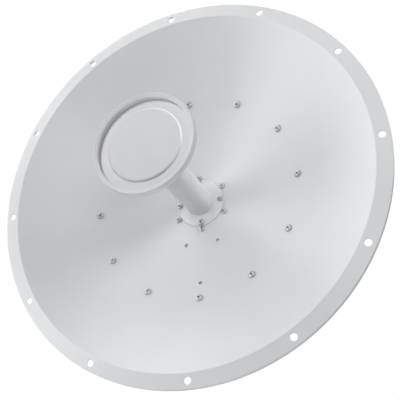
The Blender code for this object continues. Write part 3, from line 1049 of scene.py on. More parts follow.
def washer(outer: float, inner: float, low: float, high: float) -> bmesh.types.BMesh:
    """Make a flat washer along Z with soft edges."""
    soft = 0.00025
    return turned([(inner, high, 0.0), (outer, high, soft), (outer, low, soft), (inner, low, 0.0)], 40, 2)


def bead(start: Vector, end: Vector, leg: float, first: Vector, second: Vector) -> bmesh.types.BMesh:
    """Lay a rippled weld bead in the corner between two faces.

    Args:
        start: Start of the corner line.
        end: End of the corner line.
        leg: Reach of the bead over each face.
        first: Direction out of the corner over the first face.
        second: Direction out of the corner over the second face.

    Returns:
        The bead, closed at both ends.
    """
    form = bmesh.new()
    run = end - start
    spacing, ripple = 0.0022, 1.13
    count = 2 * max(4, int(run.length / spacing))
    step = run / count
    middle = start + (first + second).normalized() * leg * 0.30
    place = Matrix.Translation(middle) @ run.to_track_quat("Z", "Y").to_matrix().to_4x4()
    bmesh.ops.create_circle(form, cap_ends=True, radius=leg, segments=10, matrix=place)
    face = form.faces[:][0]
    for index in range(count):
        face = bmesh.ops.extrude_discrete_faces(form, faces=[face])["faces"][0]
        bmesh.ops.translate(form, verts=face.verts[:], vec=step)
        middle = middle + step
        swell = ripple if index % 2 == 0 else 1.0 / ripple
        bmesh.ops.scale(form, verts=face.verts[:], vec=(swell, swell, swell),
                        space=Matrix.Translation(-middle))
    bmesh.ops.holes_fill(form, edges=[edge for edge in form.edges if edge.is_boundary], sides=0)
    return tidied(form)


@dataclass
class Reflector:
    """Spun bowl with a flat rim, a lip folded back, rim holes and the holes of the radio plate."""

    bowl: Bowl = field(default_factory=Bowl)
    outer_radius: float = 0.3250
    lip_start: float = 0.3246
    lip_depth: float = 0.0096
    lip_bend: float = 0.0008
    rim_fall: float = 0.0014
    fold: float = 0.0006
    rim_circle: float = 0.3125
    rim_hole: float = 0.0055
    rim_holes: int = 12
    plate_hole: float = 0.0033
    steps: int = 240
    rings: int = 41

    def profile(self) -> Profile:
        """Section of the sheet: its front, the rim's lip, then its rear.

        Returns:
            The points of the section.
        """
        bowl = self.bowl
        sheet = bowl.sheet
        fall = self.rim_fall
        inside = self.lip_start - sheet
        radii = bowl.radii(FEED_BORE, bowl.radius - 0.0015, self.rings)
        front = [(radius, bowl.front(radius), 0.0) for radius in radii]
        front += [(bowl.radius, 0.0, self.fold), (bowl.radius + 0.0015, -0.07 * fall, 0.0),
                  (self.lip_start - 0.0030, -0.85 * fall, 0.0), (self.lip_start, -fall, self.lip_bend)]
        lip = [(self.outer_radius, -self.lip_depth, 0.0006),
               (self.outer_radius - sheet, -self.lip_depth, 0.0006),
               (inside, -sheet - fall, 0.0010), (inside - 0.0030, -sheet - 0.8 * fall, 0.0)]
        rear = [(bowl.radius + 0.0030, -sheet, 0.0), (bowl.radius, bowl.rear(bowl.radius), 0.0006)]
        rear += [(radius, bowl.rear(radius), 0.0) for radius in reversed(radii)]
        return front + lip + rear

    def build(self, workshop: Workshop) -> None:
        """Spin the sheet and drill it.

        Args:
            workshop: Makes the finished pieces.
        """
        sheet = turned(self.profile(), self.steps, 5)
        rim = patterned(lambda: drill_bit(self.rim_hole, 0.0, -self.bowl.sheet),
                        [Matrix.Translation((across, up, -self.rim_fall / 2.0))
                         for across, up in around(self.rim_circle, self.rim_holes)])
        sheet = cut_with(sheet, rim)
        seats = [DISH.inverted() @ self.bowl.seat(across, up) for across, up in BOSS_PLACES]
        plate = patterned(lambda: drill_bit(self.plate_hole, 0.0, -self.bowl.sheet, 0.0002), seats)
        sheet = cut_with(sheet, plate)
        workshop.piece("reflector_sheet", placed(sheet), POWDER_COAT, ["reflector"], sharp=34.0)


@dataclass
class Feed:
    """Flange, tapered tube and cone that carry the sub-reflector in front of the bowl."""

    bowl: Bowl = field(default_factory=Bowl)
    flange_radius: float = 0.0420
    flange_top: float = 0.0248
    flange_edge: float = -0.0952
    seat: float = -0.0934
    spigot: float = 0.0202
    spigot_length: float = 0.0130
    tube_bore: float = 0.0205
    base_radius: float = 0.0238
    tip_radius: float = 0.0224
    tip: float = 0.0860
    cone_radius: float = 0.0370
    cone_face: float = 0.1087
    steps: int = 96

    def flange(self) -> bmesh.types.BMesh:
        """Cast flange: a shallow cone that falls to a rounded edge, with the tube's spigot.

        Returns:
            The flange.
        """
        profile = [(FEED_BORE, self.seat + self.spigot_length, 0.0005),
                   (self.spigot, self.seat + self.spigot_length, 0.0005), (self.spigot, self.seat, 0.0),
                   (self.flange_top, self.seat, 0.0), (self.flange_radius, self.flange_edge, 0.0012),
                   (self.flange_radius, self.bowl.front(self.flange_radius) + GAP, 0.0)]
        profile += [(radius, self.bowl.front(radius) + GAP, 0.0)
                    for radius in reversed(self.bowl.radii(FEED_BORE, self.flange_radius - 0.004, 5))]
        return turned(profile, self.steps, 5)

    def tube(self) -> bmesh.types.BMesh:
        """Tapered tube with its ends softened.

        Returns:
            The tube.
        """
        profile = [(self.tube_bore, self.tip, 0.0), (self.tip_radius, self.tip, 0.0004),
                   (self.base_radius, self.seat + GAP, 0.0008), (self.tube_bore, self.seat + GAP, 0.0)]
        return turned(profile, self.steps)

    def cone(self) -> bmesh.types.BMesh:
        """Cone that opens from the tube to the back of the sub-reflector.

        Returns:
            The cone.
        """
        low = self.tip + GAP
        rise = self.cone_face - 0.0010 - low
        spread = self.cone_radius - self.tip_radius
        shares = [step / 20.0 for step in range(20, -1, -1)]
        profile = [(0.0, self.cone_face, 0.0), (self.cone_radius - 0.0010, self.cone_face, 0.0)]
        profile += [(self.tip_radius + spread * share ** 1.5, low + rise * share, 0.0) for share in shares]
        profile += [(self.spigot, low, 0.0), (self.spigot, self.tip - self.spigot_length, 0.0006),
                    (0.0, self.tip - self.spigot_length, 0.0)]
        return turned(profile, self.steps)

    def build(self, workshop: Workshop) -> None:
        """Build the three pieces.

        Args:
            workshop: Makes the finished pieces.
        """
        workshop.piece("feed_base_flange", placed(self.flange()), POWDER_COAT, ["feed_flange"])
        # The tube and the cone take the darker white plastic, which paints shade on them.
        workshop.piece("feed_tapered_tube", placed(self.tube()), SHADED_FEED_PLASTIC, ["feed_tube"])
        workshop.piece("feed_flared_cone", placed(self.cone()), SHADED_FEED_PLASTIC, ["feed_cone"])


@dataclass
class SubReflector:
    """Shallow cup on the end of the feed, with a lip round it and a cap in its middle."""

    radius: float = 0.0777
    back: float = 0.1160
    front: float = 0.1270
    lip_inner: float = 0.0713
    lip_fall: float = 0.0020
    plateau: float = 0.1194
    cap_radius: float = 0.0570
    cap_seat: float = 0.1175
    cap_face: float = 0.1217
    cone_radius: float = 0.0370
    cone_face: float = 0.1090
    steps: int = 144

    def cup(self) -> bmesh.types.BMesh:
        """Cup with a rounded rim, a lip that slopes inwards and a recess for the cap.

        Returns:
            The cup.
        """
        groove = self.cap_radius + GAP
        profile = [(0.0, self.cap_seat, 0.0), (groove, self.cap_seat, 0.0),
                   (groove, self.plateau, 0.0004), (groove + 0.0012, self.plateau, 0.0),
                   (self.lip_inner - 0.0014, self.plateau, 0.0), (self.lip_inner, self.plateau, 0.0003),
                   (self.lip_inner, self.front - self.lip_fall, 0.0003),
                   (self.lip_inner + 0.0008, self.front - 0.85 * self.lip_fall, 0.0),
                   (self.radius - 0.0020, self.front - 0.15 * self.lip_fall, 0.0),
                   (self.radius - 0.0012, self.front, 0.0), (self.radius, self.front, 0.0009),
                   (self.radius, self.front - 0.0020, 0.0), (self.radius, self.back, 0.0014),
                   (self.cone_radius, self.cone_face, 0.0010), (0.0, self.cone_face, 0.0)]
        return turned(profile, self.steps, 5)

    def cap(self) -> bmesh.types.BMesh:
        """Plain cap with a broad bevelled edge.

        Returns:
            The cap.
        """
        profile = [(0.0, self.cap_face, 0.0), (self.cap_radius - 0.0040, self.cap_face, 0.0),
                   (self.cap_radius - 0.0021, self.cap_face, 0.0003),
                   (self.cap_radius, self.cap_face - 0.0017, 0.0003),
                   (self.cap_radius, self.cap_seat + GAP, 0.0), (0.0, self.cap_seat + GAP, 0.0)]
        return turned(profile, self.steps)

    def build(self, workshop: Workshop) -> None:
        """Build the cup and the cap.

        Args:
            workshop: Makes the finished pieces.
        """
        # The cap takes the darker white plastic, which paints shade on it; the cup keeps the plain one.
        workshop.piece("subreflector_cup_shell", placed(self.cup()), MOULDED_PLASTIC, ["subreflector_cup"],
                       sharp=40.0)
        workshop.piece("subreflector_cap_disc", placed(self.cap()), SHADED_FEED_PLASTIC, ["subreflector_cap"],
                       sharp=50.0)


@dataclass
class FrontScrews:
    """Button-headed screws on the bowl and on the feed's flange."""

    bowl: Bowl = field(default_factory=Bowl)
    ring_circle: float = 0.1770
    hub_circle: float = 0.0473
    flange_circle: float = 0.0367
    flange_turn: float = 0.4

    def build(self, workshop: Workshop) -> None:
        """Set the three circles of screws.

        Args:
            workshop: Makes the finished pieces.
        """
        ring = [self.bowl.seat(across, up) for across, up in around(self.ring_circle, 12)]
        hub = [self.bowl.seat(across, up) for across, up in around(self.hub_circle, 6)]
        height = self.flange_height()
        turn = Matrix.Rotation(self.flange_turn, 4, "Z")
        flange = [DISH @ Matrix.Translation((across, up, height)) @ turn
                  for across, up in around(self.flange_circle, 4)]
        small = SocketScrew(radius=0.0052, height=0.0031, socket=0.0017, depth=0.0024)
        workshop.piece("ring_screws", patterned(SocketScrew().build, ring), SCREW_STEEL)
        workshop.piece("hub_screws", patterned(small.build, hub), SCREW_STEEL)
        workshop.piece("flange_screws", patterned(small.build, flange), SCREW_STEEL)

    def flange_height(self) -> float:
        """Height of the flange's sloping face under its screws.

        Returns:
            The height.
        """
        feed = Feed()
        share = (self.flange_circle - feed.flange_top) / (feed.flange_radius - feed.flange_top)
        return feed.seat + (feed.flange_edge - feed.seat) * share


@dataclass
class HexBolt:
    """Hexagon bolt along Z: head from the origin up, then washers, shank and nut below."""

    radius: float
    corner: float
    head: float
    grip: float
    tail: float
    pitch: float
    nut: float = 0.0
    plate: float = 0.0009

    @classmethod
    def eight(cls, grip: float, tail: float, nut: float = 0.0) -> HexBolt:
        """Make an eight millimetre bolt for a grip and a tail, with a nut if its height is given."""
        return cls(radius=0.0040, corner=0.0072, head=0.0055, grip=grip, tail=tail, pitch=0.00125, nut=nut)

    def build(self) -> bmesh.types.BMesh:
        """Model the head, both washers, the nut and the threaded shank.

        Returns:
            The bolt.
        """
        parts = [hexagon(self.corner, self.plate, self.head),
                 washer(self.corner * 1.04, self.radius, 0.0, self.plate)]
        end = -self.grip - self.tail
        if self.nut:
            lower = -self.grip - self.plate
            parts.append(washer(self.corner * 1.04, self.radius, lower, -self.grip))
            parts.append(hexagon(self.corner, -self.grip - self.nut, lower, chamfer_low=True))
            end -= self.nut
        thread = min(-self.grip * 0.4, end + 0.030)
        parts.append(rod(self.radius, end, self.plate + 0.0004, self.pitch, thread))
        return joined(parts)


@dataclass
class BackingRing:
    """Folded ring behind the bowl, with the nuts of the screws that hold the bowl to it."""

    bowl: Bowl = field(default_factory=Bowl)
    flange: float = 0.1900
    wall: float = 0.1660
    inner: float = 0.1360
    sheet: float = 0.0030
    rear: float = -0.1280
    screw_circle: float = 0.1770
    nut_sink: float = 0.0050

    def section(self) -> Profile:
        """Section of the ring: sloping flange, wall and flat rear flange, with bent corners.

        Returns:
            The points of the section.
        """
        inside = self.wall - self.sheet
        seat = self.bowl.rear
        profile = [(inside, seat(inside) - GAP, 0.0042)]
        profile += [(radius, seat(radius) - GAP, 0.0)
                    for radius in self.bowl.radii(inside + 0.006, self.flange, 8)]
        profile += [(self.flange, seat(self.flange) - GAP - self.sheet, 0.0005),
                    (self.wall, seat(self.wall) - GAP - self.sheet, 0.0020),
                    (self.wall, self.rear, 0.0040), (self.inner, self.rear, 0.0005),
                    (self.inner, self.rear + self.sheet, 0.0005), (inside, self.rear + self.sheet, 0.0020)]
        return profile

    def nut(self) -> bmesh.types.BMesh:
        """One nut with its washer and its screw's end.

        Returns:
            The nut, its washer's front at the origin.
        """
        return joined([washer(0.0052, 0.0025, -0.0009, 0.0),
                       hexagon(0.0046, -0.0048, -0.0009, chamfer_low=True),
                       rod(0.0025, -0.0068, -0.0006, 0.0008, -0.0040)])

    def nuts(self) -> bmesh.types.BMesh:
        """Nuts behind the flange, each along its screw."""
        return patterned(self.nut, [self.bowl.seat(across, up, self.nut_sink)
                                    for across, up in around(self.screw_circle, 12)])

    def build(self, workshop: Workshop) -> None:
        """Build the ring and its nuts.

        Args:
            workshop: Makes the finished pieces.
        """
        ring = turned(self.section(), 192, 5)
        workshop.piece("backing_ring_folded", placed(ring), DIPPED_ZINC, ["backing_ring"])
        workshop.piece("ring_screw_nuts", self.nuts(), STAINLESS)


@dataclass
class FeedRear:
    """Hub plate, cast feed block, its cover and its two connectors, behind the bowl."""

    bowl: Bowl = field(default_factory=Bowl)
    hub_radius: float = 0.0560
    hub_rear: float = -0.1060
    hub_circle: float = 0.0473
    half: float = 0.0380
    rear: float = -0.1500
    cover_half: float = 0.0300
    cover_sheet: float = 0.0025
    cover_screw: float = 0.0250
    connector_spread: float = 0.0190
    connector_depth: float = -0.1300

    def hub(self) -> bmesh.types.BMesh:
        """Machined disc that follows the bowl, with a rounded outer edge.

        Returns:
            The disc.
        """
        radii = self.bowl.radii(FEED_BORE, self.hub_radius - 0.002, 10)
        profile = [(radius, self.bowl.rear(radius) - GAP, 0.0) for radius in radii]
        profile += [(self.hub_radius, self.bowl.rear(self.hub_radius) - GAP, 0.0008),
                    (self.hub_radius, self.hub_rear, 0.0012), (FEED_BORE, self.hub_rear, 0.0)]
        return turned(profile, 96)

    def hub_ends(self) -> bmesh.types.BMesh:
        """Ends of the hub's screws where they come through the disc.

        Returns:
            The ends, in the frame of the solids.
        """
        places = [DISH @ Matrix.Translation((across, up, self.hub_rear))
                  for across, up in around(self.hub_circle, 6)]
        return patterned(lambda: rod(0.0020, -0.0011, 0.0010, 0.0007, 0.0006), places)

    def block(self) -> bmesh.types.BMesh:
        """Cast block with rounded corners and a shallow pocket in each free side.

        Returns:
            The block.
        """
        form = slab((-self.half, -self.half, self.rear), (self.half, self.half, self.hub_rear - GAP),
                    "z", 0.005)
        for direction in (Vector((1.0, 0.0, 0.0)), Vector((-1.0, 0.0, 0.0)), Vector((0.0, 1.0, 0.0))):
            side = max(form.faces, key=lambda face: (face.normal.dot(direction), face.calc_area()))
            bmesh.ops.inset_individual(form, faces=[side], thickness=0.0060, use_even_offset=True)
            pocket = bmesh.ops.inset_individual(form, faces=[side], thickness=0.0016, use_even_offset=True)
            if pocket["faces"]:
                bmesh.ops.translate(form, verts=side.verts[:], vec=-0.0030 * direction)
        return eased(form, 0.0009, 25.0)

    def cover(self) -> bmesh.types.BMesh:
        """Pressed cover with soft edges.

        Returns:
            The cover.
        """
        top = self.rear - GAP
        form = slab((-self.cover_half, -self.cover_half, top - self.cover_sheet),
                    (self.cover_half, self.cover_half, top), "z", 0.0040)
        return eased(form, 0.0007, 25.0)

    def cover_screws(self) -> bmesh.types.BMesh:
        """Four small socket screws in the corners of the cover.

        Returns:
            The screws, in the frame of the solids.
        """
        screw = SocketScrew(radius=0.0028, height=0.0017, socket=0.0010, depth=0.0011)
        height = self.rear - GAP - self.cover_sheet
        return patterned(screw.build, rearwards(corner_places(self.cover_screw, self.cover_screw, height)))

    def connector_place(self, side: float) -> Matrix:
        """Place of a connector under the block, with its Z axis up into the block."""
        origin = Vector((side * self.connector_spread, -self.half - GAP, self.connector_depth))
        return DISH @ facing(origin, Vector((0.0, 1.0, 0.0)))

    def connector_body(self) -> bmesh.types.BMesh:
        """Threaded coaxial socket with its washer and panel nut, mouth down.

        Returns:
            The socket, its upper face at the origin.
        """
        crest = 0.0079
        outline = [(0.0, 0.0, 0.0), (0.0125, 0.0, 0.0), (0.0125, -0.0007, 0.0002), (0.0112, -0.0007, 0.0),
                   (0.0078, -0.0024, 0.0), (crest, -0.0040, 0.0)]
        for turn in range(11):
            height = -0.0042 - turn * 0.0010
            outline += [(crest, height, 0.0), (crest - 0.0006, height - 0.0005, 0.0)]
        outline += [(crest, -0.0152, 0.0), (crest, -0.0160, 0.0), (0.0072, -0.0166, 0.0),
                    (0.0072, -0.0200, 0.0004), (0.0064, -0.0200, 0.0004), (0.0064, -0.0090, 0.0),
                    (0.0, -0.0090, 0.0)]
        nut = hexagon(0.0122, -0.0025, -0.0007, chamfer_low=True)
        return joined([turned(outline, 48), nut])

    def connector_core(self) -> bmesh.types.BMesh:
        """White insulator in a connector's mouth.

        Returns:
            The insulator, about the socket's origin.
        """
        outline = [(0.0009, -0.0092, 0.0), (0.0062, -0.0092, 0.0), (0.0062, -0.0118, 0.0004),
                   (0.0026, -0.0118, 0.0003), (0.0026, -0.0160, 0.0004), (0.0009, -0.0160, 0.0003)]
        return turned(outline, 40)

    def build(self, workshop: Workshop) -> None:
        """Build every part of the feed behind the bowl.

        Args:
            workshop: Makes the finished pieces.
        """
        workshop.piece("hub_disc", placed(self.hub()), MACHINED_METAL, ["hub_plate"])
        workshop.piece("hub_screw_ends", self.hub_ends(), STAINLESS)
        workshop.piece("feed_cast_block", placed(self.block()), CAST_METAL, ["feed_block"], sharp=20.0)
        workshop.piece("feed_rear_cover", placed(self.cover()), DIPPED_ZINC, ["feed_cover"], sharp=20.0)
        workshop.piece("feed_cover_screws", self.cover_screws(), STAINLESS)
        for side, name in ((-1.0, "left"), (1.0, "right")):
            place = self.connector_place(side)
            workshop.piece("coaxial_socket_" + name, placed(self.connector_body(), place), STAINLESS,
                           ["connector_" + name])
            workshop.piece("coaxial_insulator_" + name, placed(self.connector_core(), place), PTFE)


@dataclass
class RadioCradle:
    """Plate for the radio below the hub, held off the bowl by three bosses."""

    bowl: Bowl = field(default_factory=Bowl)
    front: float = -0.1120
    sheet: float = 0.0030
    half_width: float = 0.0400
    low: float = -0.1560
    high: float = -0.0620
    names: Sequence[str] = ("boss_left", "boss_right", "boss_lower")
    boss_radius: float = 0.0060
    stud_radius: float = 0.0018
    stud_recess: float = 0.0028

    def plate(self) -> bmesh.types.BMesh:
        """Plate with rounded corners and two slots.

        Returns:
            The plate.
        """
        form = slab((-self.half_width, self.low, self.front - self.sheet),
                    (self.half_width, self.high, self.front), "z", 0.0080)
        slots = joined([slab((side * 0.0180 - 0.0035, -0.1260, self.front - 0.010),
                             (side * 0.0180 + 0.0035, -0.0940, self.front + 0.010), "z", 0.0034)
                        for side in SIDES])
        return eased(cut_with(form, slots), 0.0005)

    def boss(self, across: float, up: float) -> bmesh.types.BMesh:
        """Round standoff with a short stud that stands in the bowl's hole, just under its front.

        Args:
            across: Place to the right of the axis.
            up: Place above the axis.

        Returns:
            The standoff.
        """
        distance = math.hypot(across, up)
        face = self.bowl.rear(distance - self.boss_radius) - GAP
        tip = self.bowl.front(distance) - self.stud_recess
        profile = [(0.0, self.front + GAP, 0.0), (self.boss_radius, self.front + GAP, 0.0005),
                   (self.boss_radius, face, 0.0005), (self.stud_radius, face, 0.0),
                   (self.stud_radius, tip, 0.0004), (0.0008, tip, 0.0), (0.0, tip - 0.0004, 0.0)]
        return placed(turned(profile, 48), Matrix.Translation((across, up, 0.0)))

    def bolt_heads(self) -> bmesh.types.BMesh:
        """Socket screws through the plate into the bosses.

        Returns:
            The screws, in the frame of the solids.
        """
        screw = SocketScrew(radius=0.0046, height=0.0027, socket=0.0015, depth=0.0016)
        places = [Matrix.Translation((across, up, self.front - self.sheet)) for across, up in BOSS_PLACES]
        return patterned(screw.build, rearwards(places))

    def build(self, workshop: Workshop) -> None:
        """Build the plate, the bosses and their screws.

        Args:
            workshop: Makes the finished pieces.
        """
        workshop.piece("radio_plate_pressed", placed(self.plate()), DIPPED_ZINC, ["radio_plate"], sharp=20.0)
        for name, (across, up) in zip(self.names, BOSS_PLACES):
            workshop.piece(name + "_standoff", placed(self.boss(across, up)), PLATED_STUD, [name])
        workshop.piece("radio_plate_screws", self.bolt_heads(), STAINLESS)


@dataclass
class RearFrame:
    """Two box beams on the ring and two crossbars on the beams, bolted together."""

    front: float = -0.1283
    offset: float = 0.0750
    width: float = 0.0400
    depth: float = 0.0200
    wall: float = 0.0025
    length: float = 0.2900
    bar_level: float = 0.0640
    bar_length: float = 0.2000
    bar_width: float = 0.0340
    bar_sheet: float = 0.0050
    end_level: float = 0.1305

    def beam(self, side: float) -> bmesh.types.BMesh:
        """Rolled box section with rounded corners inside and out.

        Args:
            side: -1 for the left and 1 for the right.

        Returns:
            The beam.
        """
        centre = side * self.offset
        half = self.width / 2.0
        rear = self.front - self.depth
        outside = slab((centre - half, -self.length / 2.0, rear),
                       (centre + half, self.length / 2.0, self.front), "y", 0.0032)
        inside = slab((centre - half + self.wall, -self.length, rear + self.wall),
                      (centre + half - self.wall, self.length, self.front - self.wall), "y", 0.0015)
        return eased(cut_with(outside, inside), 0.0004, 40.0)

    def crossbar(self, level: float) -> bmesh.types.BMesh:
        """Flat bar with rounded corners.

        Args:
            level: -1 for the lower and 1 for the upper.

        Returns:
            The bar.
        """
        top = self.front - self.depth - GAP
        middle = level * self.bar_level
        form = slab((-self.bar_length / 2.0, middle - self.bar_width / 2.0, top - self.bar_sheet),
                    (self.bar_length / 2.0, middle + self.bar_width / 2.0, top), "z", 0.0060)
        return eased(form, 0.0006)

    def bolts(self) -> bmesh.types.BMesh:
        """Bolts of the crossbars on the beams, and of the beams on the ring.

        Returns:
            The bolts, in the frame of the solids.
        """
        bar_rear = self.front - self.depth - GAP - self.bar_sheet
        short = HexBolt.eight(self.bar_sheet + self.wall, 0.0010)
        long = HexBolt.eight(self.depth + 0.0033, 0.0020, nut=0.0055)
        bars = rearwards(corner_places(self.offset, self.bar_level, bar_rear))
        ends = rearwards(corner_places(self.offset, self.end_level, self.front - self.depth))
        return joined([patterned(short.build, bars), patterned(long.build, ends)])

    def build(self, workshop: Workshop) -> None:
        """Build the beams, the crossbars and the bolts.

        Args:
            workshop: Makes the finished pieces.
        """
        for side, name in ((-1.0, "beam_left"), (1.0, "beam_right")):
            workshop.piece(name + "_section", placed(self.beam(side)), DIPPED_ZINC, [name], sharp=20.0)
        for level, name in ((1.0, "crossbar_upper"), (-1.0, "crossbar_lower")):
            workshop.piece(name + "_flat", placed(self.crossbar(level)), DIPPED_ZINC, [name], sharp=20.0)
        workshop.piece("frame_bolts", self.bolts(), STAINLESS)


@dataclass
class TiltBracket:
    """Base plate with a window and two cheeks with an arc slot, and the mast bracket inside them."""

    base_front: float = -0.1539
    base_sheet: float = 0.0050
    half_width: float = 0.0620
    half_height: float = 0.0850
    base_bolt: float = 0.0400
    window: float = 0.0300
    cheek_offset: float = 0.0595
    cheek_rear: float = -0.2020
    cheek_rear_half: float = 0.0650
    sheet: float = 0.0050
    mast_offset: float = 0.0542
    mast_front: float = -0.1660
    mast_half: float = 0.0700
    plate_front: float = -0.2040
    plate_rear: float = -0.2100
    plate_half_width: float = 0.0650
    plate_half_height: float = 0.0850
    pivot_depth: float = -0.1840
    pivot_height: float = 0.0500
    hole: float = 0.0053

    def base(self) -> bmesh.types.BMesh:
        """Base plate with its window.

        Returns:
            The plate.
        """
        rear = self.base_front - self.base_sheet
        form = slab((-self.half_width, -self.half_height, rear),
                    (self.half_width, self.half_height, self.base_front), "z", 0.0060)
        window = slab((-self.window, -self.window, rear - 0.01),
                      (self.window, self.window, self.base_front + 0.01), "z", 0.0080)
        return eased(cut_with(form, window), 0.0006)

    def cross_hole(self, up: float, centre: float) -> bmesh.types.BMesh:
        """Cutter of a bolt hole through a cheek, along x."""
        bit = drill_bit(self.hole, self.sheet / 2.0, -self.sheet / 2.0, 0.0003)
        return placed(bit, facing(Vector((centre, up, self.pivot_depth)), Vector((1.0, 0.0, 0.0))))

    def arc_slot(self, centre: float) -> bmesh.types.BMesh:
        """Cutter of the lock bolt's slot: a flat strip swept about the pivot and rounded at its ends.

        Args:
            centre: Middle of the cheek, along x.

        Returns:
            The cutter.
        """
        form = bmesh.new()
        reach = 2.0 * self.pivot_height
        sweep = math.radians(11.0)
        low, high = reach - self.hole, reach + self.hole
        corners = [form.verts.new((across, 0.0, -radius)) for across, radius in
                   ((-self.sheet, low), (self.sheet, low), (self.sheet, high), (-self.sheet, high))]
        form.faces.new(corners)
        bmesh.ops.rotate(form, verts=form.verts[:], cent=(0.0, 0.0, 0.0),
                         matrix=Matrix.Rotation(-sweep / 2.0, 3, "X"))
        bmesh.ops.spin(form, geom=form.verts[:] + form.edges[:] + form.faces[:], cent=(0.0, 0.0, 0.0),
                       axis=(1.0, 0.0, 0.0), angle=sweep, steps=12)
        tidied(form)
        swung = Matrix(((1.0, 0.0, 0.0, centre), (0.0, 0.0, 1.0, self.pivot_height),
                        (0.0, 1.0, 0.0, self.pivot_depth), (0.0, 0.0, 0.0, 1.0)))
        bmesh.ops.transform(form, matrix=swung, verts=form.verts[:])
        bmesh.ops.recalc_face_normals(form, faces=form.faces[:])
        return form

    def cheek(self, side: float) -> bmesh.types.BMesh:
        """Outer cheek, narrower at the rear, with its pivot hole and slot.

        Args:
            side: -1 for the left and 1 for the right.

        Returns:
            The cheek.
        """
        centre = side * self.cheek_offset
        top = self.base_front - self.base_sheet - GAP
        form = slab((centre - self.sheet / 2.0, -self.half_height, self.cheek_rear),
                    (centre + self.sheet / 2.0, self.half_height, top))
        for vertex in form.verts:
            if vertex.co.z < self.cheek_rear + 0.001:
                vertex.co.y = math.copysign(self.cheek_rear_half, vertex.co.y)
        chosen = [edge for edge in form.edges if abs(edge.verts[0].co.x - edge.verts[1].co.x) > 0.001]
        rounded(form, chosen, 0.0060, 6)
        form = cut_with(form, self.cross_hole(self.pivot_height, centre))
        return eased(cut_with(form, self.arc_slot(centre)), 0.0005)

    def mast_cheek(self, side: float) -> bmesh.types.BMesh:
        """Inner cheek with its two bolt holes.

        Args:
            side: -1 for the left and 1 for the right.

        Returns:
            The cheek.
        """
        centre = side * self.mast_offset
        form = slab((centre - self.sheet / 2.0, -self.mast_half, self.plate_front + GAP),
                    (centre + self.sheet / 2.0, self.mast_half, self.mast_front), "x", 0.0060)
        holes = joined([self.cross_hole(level * self.pivot_height, centre) for level in SIDES])
        return eased(cut_with(form, holes), 0.0005)

    def mast_plate(self) -> bmesh.types.BMesh:
        """Plate that bears on the pole, with the holes of the clamp bolts.

        Returns:
            The plate.
        """
        form = slab((-self.plate_half_width, -self.plate_half_height, self.plate_rear),
                    (self.plate_half_width, self.plate_half_height, self.plate_front), "z", 0.0080)
        clamp = PoleClamp()
        holes = patterned(lambda: drill_bit(clamp.bolt_hole, self.plate_front, self.plate_rear),
                          corner_places(clamp.bolt_offset, clamp.level))
        return eased(cut_with(form, holes), 0.0006, 50.0)

    def welds(self) -> bmesh.types.BMesh:
        """Rippled beads where the cheeks stand on their plates.

        Returns:
            The beads.
        """
        beads = []
        base_rear = self.base_front - self.base_sheet
        for side in SIDES:
            inner = side * (self.cheek_offset - self.sheet / 2.0)
            beads.append(bead(Vector((inner, -0.0700, base_rear)), Vector((inner, 0.0700, base_rear)), 0.0024,
                              Vector((-side, 0.0, 0.0)), Vector((0.0, 0.0, -1.0))))
            for face in SIDES:
                edge = side * self.mast_offset + face * self.sheet / 2.0
                beads.append(bead(Vector((edge, -0.0600, self.plate_front)),
                                  Vector((edge, 0.0600, self.plate_front)), 0.0022,
                                  Vector((face, 0.0, 0.0)), Vector((0.0, 0.0, 1.0))))
        return joined(beads)

    def base_bolts(self) -> bmesh.types.BMesh:
        """Bolts that hold the base plate to the crossbars.

        Returns:
            The bolts, in the frame of the solids.
        """
        bolt = HexBolt.eight(2.0 * self.base_sheet, 0.0020, nut=0.0055)
        height = self.base_front - self.base_sheet
        return patterned(bolt.build, rearwards(corner_places(self.base_bolt, RearFrame().bar_level, height)))

    def cheek_bolt(self, side: float, level: float) -> bmesh.types.BMesh:
        """Pivot or lock bolt through a pair of cheeks.

        Args:
            side: -1 for the left and 1 for the right.
            level: 1 for the pivot and -1 for the lock bolt.

        Returns:
            The bolt, in the frame of the solids.
        """
        bolt = HexBolt(radius=0.0050, corner=0.0088, head=0.0060, grip=0.0109, tail=0.0020, pitch=0.0015,
                       nut=0.0060)
        origin = Vector((side * (self.cheek_offset + self.sheet / 2.0 + GAP), level * self.pivot_height,
                         self.pivot_depth))
        return placed(bolt.build(), DISH @ facing(origin, Vector((side, 0.0, 0.0))))

    def build(self, workshop: Workshop) -> None:
        """Build both brackets, their welds and their bolts.

        Args:
            workshop: Makes the finished pieces.
        """
        workshop.piece("tilt_base_plate", placed(self.base()), DIPPED_ZINC, ["tilt_base"], sharp=20.0)
        workshop.piece("mast_bearing_plate", placed(self.mast_plate()), DIPPED_ZINC, ["mast_plate"],
                       sharp=20.0)
        for side, name in ((-1.0, "left"), (1.0, "right")):
            workshop.piece("tilt_cheek_%s_slotted" % name, placed(self.cheek(side)), DIPPED_ZINC,
                           ["tilt_cheek_" + name], sharp=20.0)
            workshop.piece("mast_cheek_%s_plate" % name, placed(self.mast_cheek(side)), DIPPED_ZINC,
                           ["mast_cheek_" + name], sharp=20.0)
            for level, use in ((1.0, "pivot"), (-1.0, "lock")):
                workshop.piece("%s_%s_hex" % (use, name), self.cheek_bolt(side, level), STAINLESS,
                               ["%s_bolt_%s" % (use, name)])
        workshop.piece("bracket_welds", placed(self.welds()), DIPPED_ZINC, sharp=60.0)
        workshop.piece("tilt_base_bolts", self.base_bolts(), STAINLESS)


